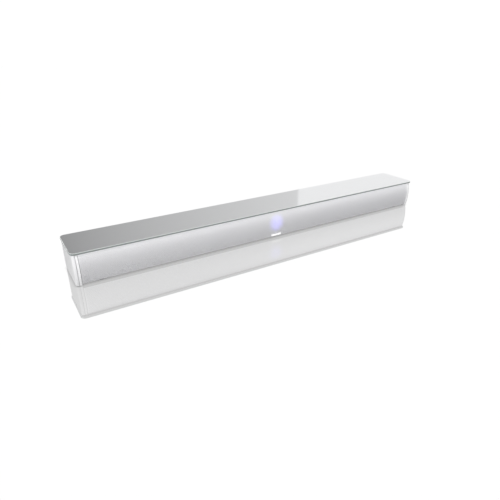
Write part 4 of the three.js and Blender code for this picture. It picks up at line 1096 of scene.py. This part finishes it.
signs = {
    "key_volume_up": strokes([((-1.5, 0), (-0.25, 0)), ((0.25, 0), (1.5, 0)),
                              ((0, -1.5), (0, 1.5))], SIGN_LINE),
    "key_volume_down": strokes([((-1.5, 0), (1.5, 0))], SIGN_LINE),
    "key_source": strokes([((-1.9, 0), (0.2, 0)), ((-0.7, 0.9), (0.2, 0.15)),
                           ((-0.7, -0.9), (0.2, -0.15)), ((1.5, -1.5), (1.5, 1.5))], SIGN_LINE),
    "key_power": [ring_part(1.4, SIGN_LINE, 125, 415)] + strokes([((0, 0.5), (0, 2.0))], SIGN_LINE),
}
for name, shapes in signs.items():
    face, centre = box_mm(name)[1].y, middle_mm(name)
    raised_sign(f"sign_{name[4:]}", shapes,
                lambda x, rise, z: (centre.x - x, face + rise, centre.z + z), f"{name}_button")
print("signs", len(signs))

# %% Mark the switch
ROCKER_TILT = math.radians(8)
ROCKER_HALF, ROCKER_FACE, ROCKER_DIP = 8.3, 4.0, 1.2
rocker_joint = next(j for j in frame["joints"] if j["child"] == "rocker")
rocker_pivot = Vector(rocker_joint["pos_m"]) / MM


def on_rocker(x, rise, height):
    """A point of a sign, laid on the switch's V-shaped face and tilted with it."""
    out = ROCKER_FACE - ROCKER_DIP * (1 - abs(height) / ROCKER_HALF) + rise
    c, s = math.cos(ROCKER_TILT), math.sin(ROCKER_TILT)
    return (rocker_pivot.x - x, rocker_pivot.y + out * c - height * s,
            rocker_pivot.z + out * s + height * c)


MARK_HEIGHT, ON_REACH, OFF_RADIUS = 4.4, 1.4, 1.2
on_mark = strokes([((0, MARK_HEIGHT - ON_REACH), (0, MARK_HEIGHT + ON_REACH))], SIGN_LINE)
off_mark = [[(x, z - MARK_HEIGHT)
             for x, z in ring_part(OFF_RADIUS, SIGN_LINE, start, start + 180)]
            for start in (0, 180)]
raised_sign("sign_switch", on_mark + off_mark, on_rocker, "rocker")
print("switch marked about", [round(v, 2) for v in rocker_pivot])

# %% [markdown]
# ## Details in the sockets
# A socket is known by its small details. The inlet's pins come with the CAD model. Made here are a
# row of gold contacts on the video socket's tongue, a gold ring and a violet plastic one on the two
# round jacks, and the flap that closes the optical socket.

# %% Make the contacts and rings
def block_mesh(name, boxes):
    """Several closed blocks as one mesh, each with its corners as given."""
    points, faces = [], []
    for (x0, x1), (y0, y1), (z0, z1) in boxes:
        s = len(points)
        points += [(x, y, z) for x in (x0, x1) for y in (y0, y1) for z in (z0, z1)]
        faces += [[s + i for i in f] for f in ((0, 1, 3, 2), (4, 6, 7, 5), (0, 4, 5, 1),
                                              (2, 3, 7, 6), (0, 2, 6, 4), (1, 5, 7, 3))]
    return closed_mesh(name, points, faces)


gold = finish("gold_plate", (0.83, 0.62, 0.28), 0.25, 1.0, 900, contrast=0.1, dust=0.0)
CONTACTS, CONTACT_PITCH, CONTACT_WIDTH = 10, 1.0, 0.5
CONTACT_INNER, CONTACT_OUTER = 9.0, 2.0  # how far behind the mouth a contact begins and ends
CONTACT_LOW, CONTACT_HIGH = 0.46, 0.56  # above the middle of the tongue
mouth, tongue = box_mm("hdmi_socket")[1].y, middle_mm("hdmi_socket")
first = tongue.x - CONTACT_PITCH * (CONTACTS - 1) / 2
contacts = [((x, x + CONTACT_WIDTH), (mouth - CONTACT_INNER, mouth - CONTACT_OUTER),
             (tongue.z + CONTACT_LOW, tongue.z + CONTACT_HIGH))
            for x in (first + CONTACT_PITCH * i for i in range(CONTACTS))]
mesh_object("video_contacts", block_mesh("video_contacts", contacts), None, material=gold)
violet_plastic = finish("violet_plastic", (0.22, 0.07, 0.32), 0.45, scale=1200, bump=0.00002)
RING_SUNK, RING_RISE, RING_BREAK = 0.05, 0.25, 0.15
RING_STEPS = 40


def jack_ring(name, jack, bore, radius, material):
    """A thin ring on the end face of a round jack."""
    end, centre = box_mm(jack)[1].y, middle_mm(jack)
    low, high = end - RING_SUNK, end + RING_RISE
    outline = [(bore, low), (radius, low), (radius, high - RING_BREAK),
               (radius - RING_BREAK, high), (bore, high)]
    mesh = turned(name, outline, (centre.x, 0.0, centre.z), "Y", RING_STEPS)
    return mesh_object(name, mesh, None, material=material)


jack_ring("aux_ring", "aux_jack", 1.85, 3.0, gold)
jack_ring("subwoofer_ring", "subwoofer_jack", 2.6, 3.9, violet_plastic)

# %% Close the optical socket
SHUTTER_W, SHUTTER_H, SHUTTER_CUT, SHUTTER_T = 8.2, 7.0, 1.6, 0.8
SHUTTER_BACK = 0.6  # how far its face lies behind the socket's
SHUTTER_SLOPE, SHUTTER_BREAK = 0.25, 0.4
optical = middle_mm("optical_socket")
shutter_face = box_mm("optical_socket")[1].y - SHUTTER_BACK


def shutter_outline(y, drawn_in):
    """A flap with its two upper corners cut off, as the plug's are."""
    w, h = SHUTTER_W / 2 - drawn_in, SHUTTER_H / 2 - drawn_in
    flat = [(-w, -h), (w, -h), (w, h - SHUTTER_CUT), (w - SHUTTER_CUT, h),
            (SHUTTER_CUT - w, h), (-w, h - SHUTTER_CUT)]
    return [(optical.x + x, y, optical.z + z) for x, z in flat]


shutter = loft("optical_shutter", [shutter_outline(shutter_face - SHUTTER_T, 0.0),
                                   shutter_outline(shutter_face - SHUTTER_SLOPE, 0.0),
                                   shutter_outline(shutter_face, SHUTTER_BREAK)])
mesh_object("optical_shutter", shutter, "key_plastic")
print("shutter", len(shutter.polygons), "faces")

# %% [markdown]
# ## Stage
# The bar stands on a glossy white table in a white room. The table is a sharp but weak mirror
# under a white glow, which darkens close to the bar, so it shows a pale reflection. Light Path lets
# that sharp mirror see a bright room, while the softer gloss of the bar sees studio cards: grey on
# the left and white on the right, which meet in the line across the glass.

# %% Light the room
scene = bpy.context.scene
scene.view_settings.view_transform = "Standard"
world = bpy.data.worlds.new("room")
scene.world = world
world.use_nodes = True
room = world.node_tree
room.nodes.clear()
ROOM_IN_MIRROR = 2.5
ROOM_LOW, ROOM_HIGH = 1.5, 1.1
ROOM_TOP = 0.9  # how steep a ray climbs where the room has reached its upper strength
ROOM_BEHIND = 1.05  # what the camera itself sees
path = node(room, "ShaderNodeLightPath").outputs
towards = node(room, "ShaderNodeTexCoord").outputs["Generated"]
climb = node(room, "ShaderNodeSeparateXYZ", {0: towards}).outputs["Z"]
sky = node(room, "ShaderNodeMapRange",
           {"Value": climb, "From Min": 0.0, "From Max": ROOM_TOP,
            "To Min": ROOM_LOW, "To Max": ROOM_HIGH}).outputs[0]
for_mirror = node(room, "ShaderNodeMix",
                  {0: path["Is Singular Ray"], 2: sky, 3: ROOM_IN_MIRROR},
                  data_type="FLOAT").outputs[0]
for_eye = node(room, "ShaderNodeMix",
               {0: path["Is Camera Ray"], 2: for_mirror, 3: ROOM_BEHIND},
               data_type="FLOAT").outputs[0]
air = node(room, "ShaderNodeBackground", {"Color": rgba(1.0), "Strength": for_eye})
node(room, "ShaderNodeOutputWorld", {"Surface": air.outputs[0]})


# %% Make the table
def flat_material(name):
    """An empty material and its tree, for the stage."""
    material = bpy.data.materials.new(name)
    material.use_nodes = True
    material.node_tree.nodes.clear()
    return material, material.node_tree


TABLE_GLOW = 0.555
TABLE_MIRROR = 0.18
TABLE_GLOW_ON_BAR = 0.33
TABLE_SHADE_REACH = 0.006
TABLE_DEEPEST = 0.42
table_material, tree = flat_material("white_table")
# painted shadow: ambient occlusion darkens the table's glow close to the bar
shaded = node(tree, "ShaderNodeAmbientOcclusion", {"Distance": TABLE_SHADE_REACH}, samples=8)
open_air = node(tree, "ShaderNodeMapRange",
                {"Value": shaded.outputs["AO"], "To Min": TABLE_DEEPEST, "To Max": 1.0}).outputs[0]
lit_table = node(tree, "ShaderNodeCombineColor",
                 {0: open_air, 1: open_air, 2: open_air}).outputs[0]
glow = node(tree, "ShaderNodeEmission", {"Color": lit_table, "Strength": TABLE_GLOW})
mirror = node(tree, "ShaderNodeBsdfGlossy", {"Color": rgba(TABLE_MIRROR), "Roughness": 0.0})
seen = node(tree, "ShaderNodeAddShader", {0: glow.outputs[0], 1: mirror.outputs[0]})
on_bar = node(tree, "ShaderNodeEmission", {"Strength": TABLE_GLOW_ON_BAR})
is_eye = node(tree, "ShaderNodeLightPath").outputs["Is Camera Ray"]
mixed = node(tree, "ShaderNodeMixShader", {0: is_eye, 1: on_bar.outputs[0], 2: seen.outputs[0]})
node(tree, "ShaderNodeOutputMaterial", {"Surface": mixed.outputs[0]})


def stage_plane(name, corners, material):
    """A flat card or table, which isn't part of the bar."""
    mesh = bpy.data.meshes.new(name)
    mesh.from_pydata(corners, [], [list(range(len(corners)))])
    mesh.materials.append(material)
    made = bpy.data.objects.new(name, mesh)
    scene.collection.objects.link(made)
    made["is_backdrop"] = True
    return made


TABLE_HALF = 12.0
table_corners = [(x * TABLE_HALF, y * TABLE_HALF, 0)
                 for x, y in ((-1, -1), (1, -1), (1, 1), (-1, 1))]
table = stage_plane("table", table_corners, table_material)
print("table", [round(v, 2) for v in table.dimensions])

# %% Hang the cards
CARD_AWAY = 5.0
CARD_BOTTOM, CARD_TOP = 0.55, 6.0
CARDS_MEET = 38.05  # degrees from straight ahead, towards the right
CARDS_START, CARDS_TURN, CARDS_END = -60.0, 5.0, 95.0
CARD_EASE = 0.7
GREY_LEFT, GREY_RIGHT = 0.34, 0.81
WHITE_CARD = 1.04


def card_point(degrees, height):
    """A point on the ring the cards hang on, at an angle seen from the camera."""
    a = math.radians(degrees)
    return (CAMERA_PLACE[0] + CARD_AWAY * math.sin(a), CAMERA_PLACE[1] + CARD_AWAY * math.cos(a),
            height)


def card(name, start, end, low_glow, high_glow):
    """A card that only soft reflections see, glowing from one strength to another."""
    material, tree = flat_material(name)
    uv = node(tree, "ShaderNodeUVMap", uv_map="card").outputs[0]
    along = node(tree, "ShaderNodeSeparateXYZ", {0: uv}).outputs["X"]
    eased = maths(tree, "POWER", along, CARD_EASE)
    strength = node(tree, "ShaderNodeMapRange", {"Value": eased, "To Min": low_glow,
                                                 "To Max": high_glow}).outputs[0]
    lit = node(tree, "ShaderNodeEmission", {"Strength": strength})
    clear = node(tree, "ShaderNodeBsdfTransparent")
    sharp = node(tree, "ShaderNodeLightPath").outputs["Is Singular Ray"]
    both = node(tree, "ShaderNodeMixShader", {0: sharp, 1: lit.outputs[0], 2: clear.outputs[0]})
    node(tree, "ShaderNodeOutputMaterial", {"Surface": both.outputs[0]})
    made = stage_plane(name, [card_point(start, CARD_BOTTOM), card_point(end, CARD_BOTTOM),
                              card_point(end, CARD_TOP), card_point(start, CARD_TOP)], material)
    layer = made.data.uv_layers.new(name="card")
    for loop, u in zip(layer.data, (0.0, 1.0, 1.0, 0.0)):
        loop.uv = (u, 0.0)
    made.visible_camera = False
    made.visible_diffuse = False
    made.visible_shadow = False
    return made


card("grey_card", CARDS_TURN, CARDS_MEET, GREY_LEFT, GREY_RIGHT)
card("grey_card_side", CARDS_START, CARDS_TURN, GREY_LEFT, GREY_LEFT)
card("white_card", CARDS_MEET, CARDS_END, WHITE_CARD, WHITE_CARD)
print("cards meet at", CARDS_MEET)


# %% Hang a soft lamp
def soft_lamp(name, place, size, power):
    """A square lamp that faces the middle of the bar."""
    data = bpy.data.lights.new(name, "AREA")
    data.size = size
    data.energy = power
    lamp = bpy.data.objects.new(name, data)
    lamp.location = place
    lamp.rotation_mode = "QUATERNION"
    lamp.rotation_quaternion = (-Vector(place)).to_track_quat("-Z", "Y")
    lamp.visible_camera = False
    scene.collection.objects.link(lamp)
    return lamp


soft_lamp("key_lamp", (-1.1, -1.3, 1.7), 1.2, 11)
soft_lamp("left_lamp", (-2.3, 0.1, 0.9), 1.6, 14)
soft_lamp("right_lamp", (1.7, -1.5, 1.3), 1.2, 4)

# %% [markdown]
# ## Finish
# The finished object's box is measured and printed.

# %% Measure and finish
low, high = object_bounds()
print("visual", [round(v, 4) for v in high - low])
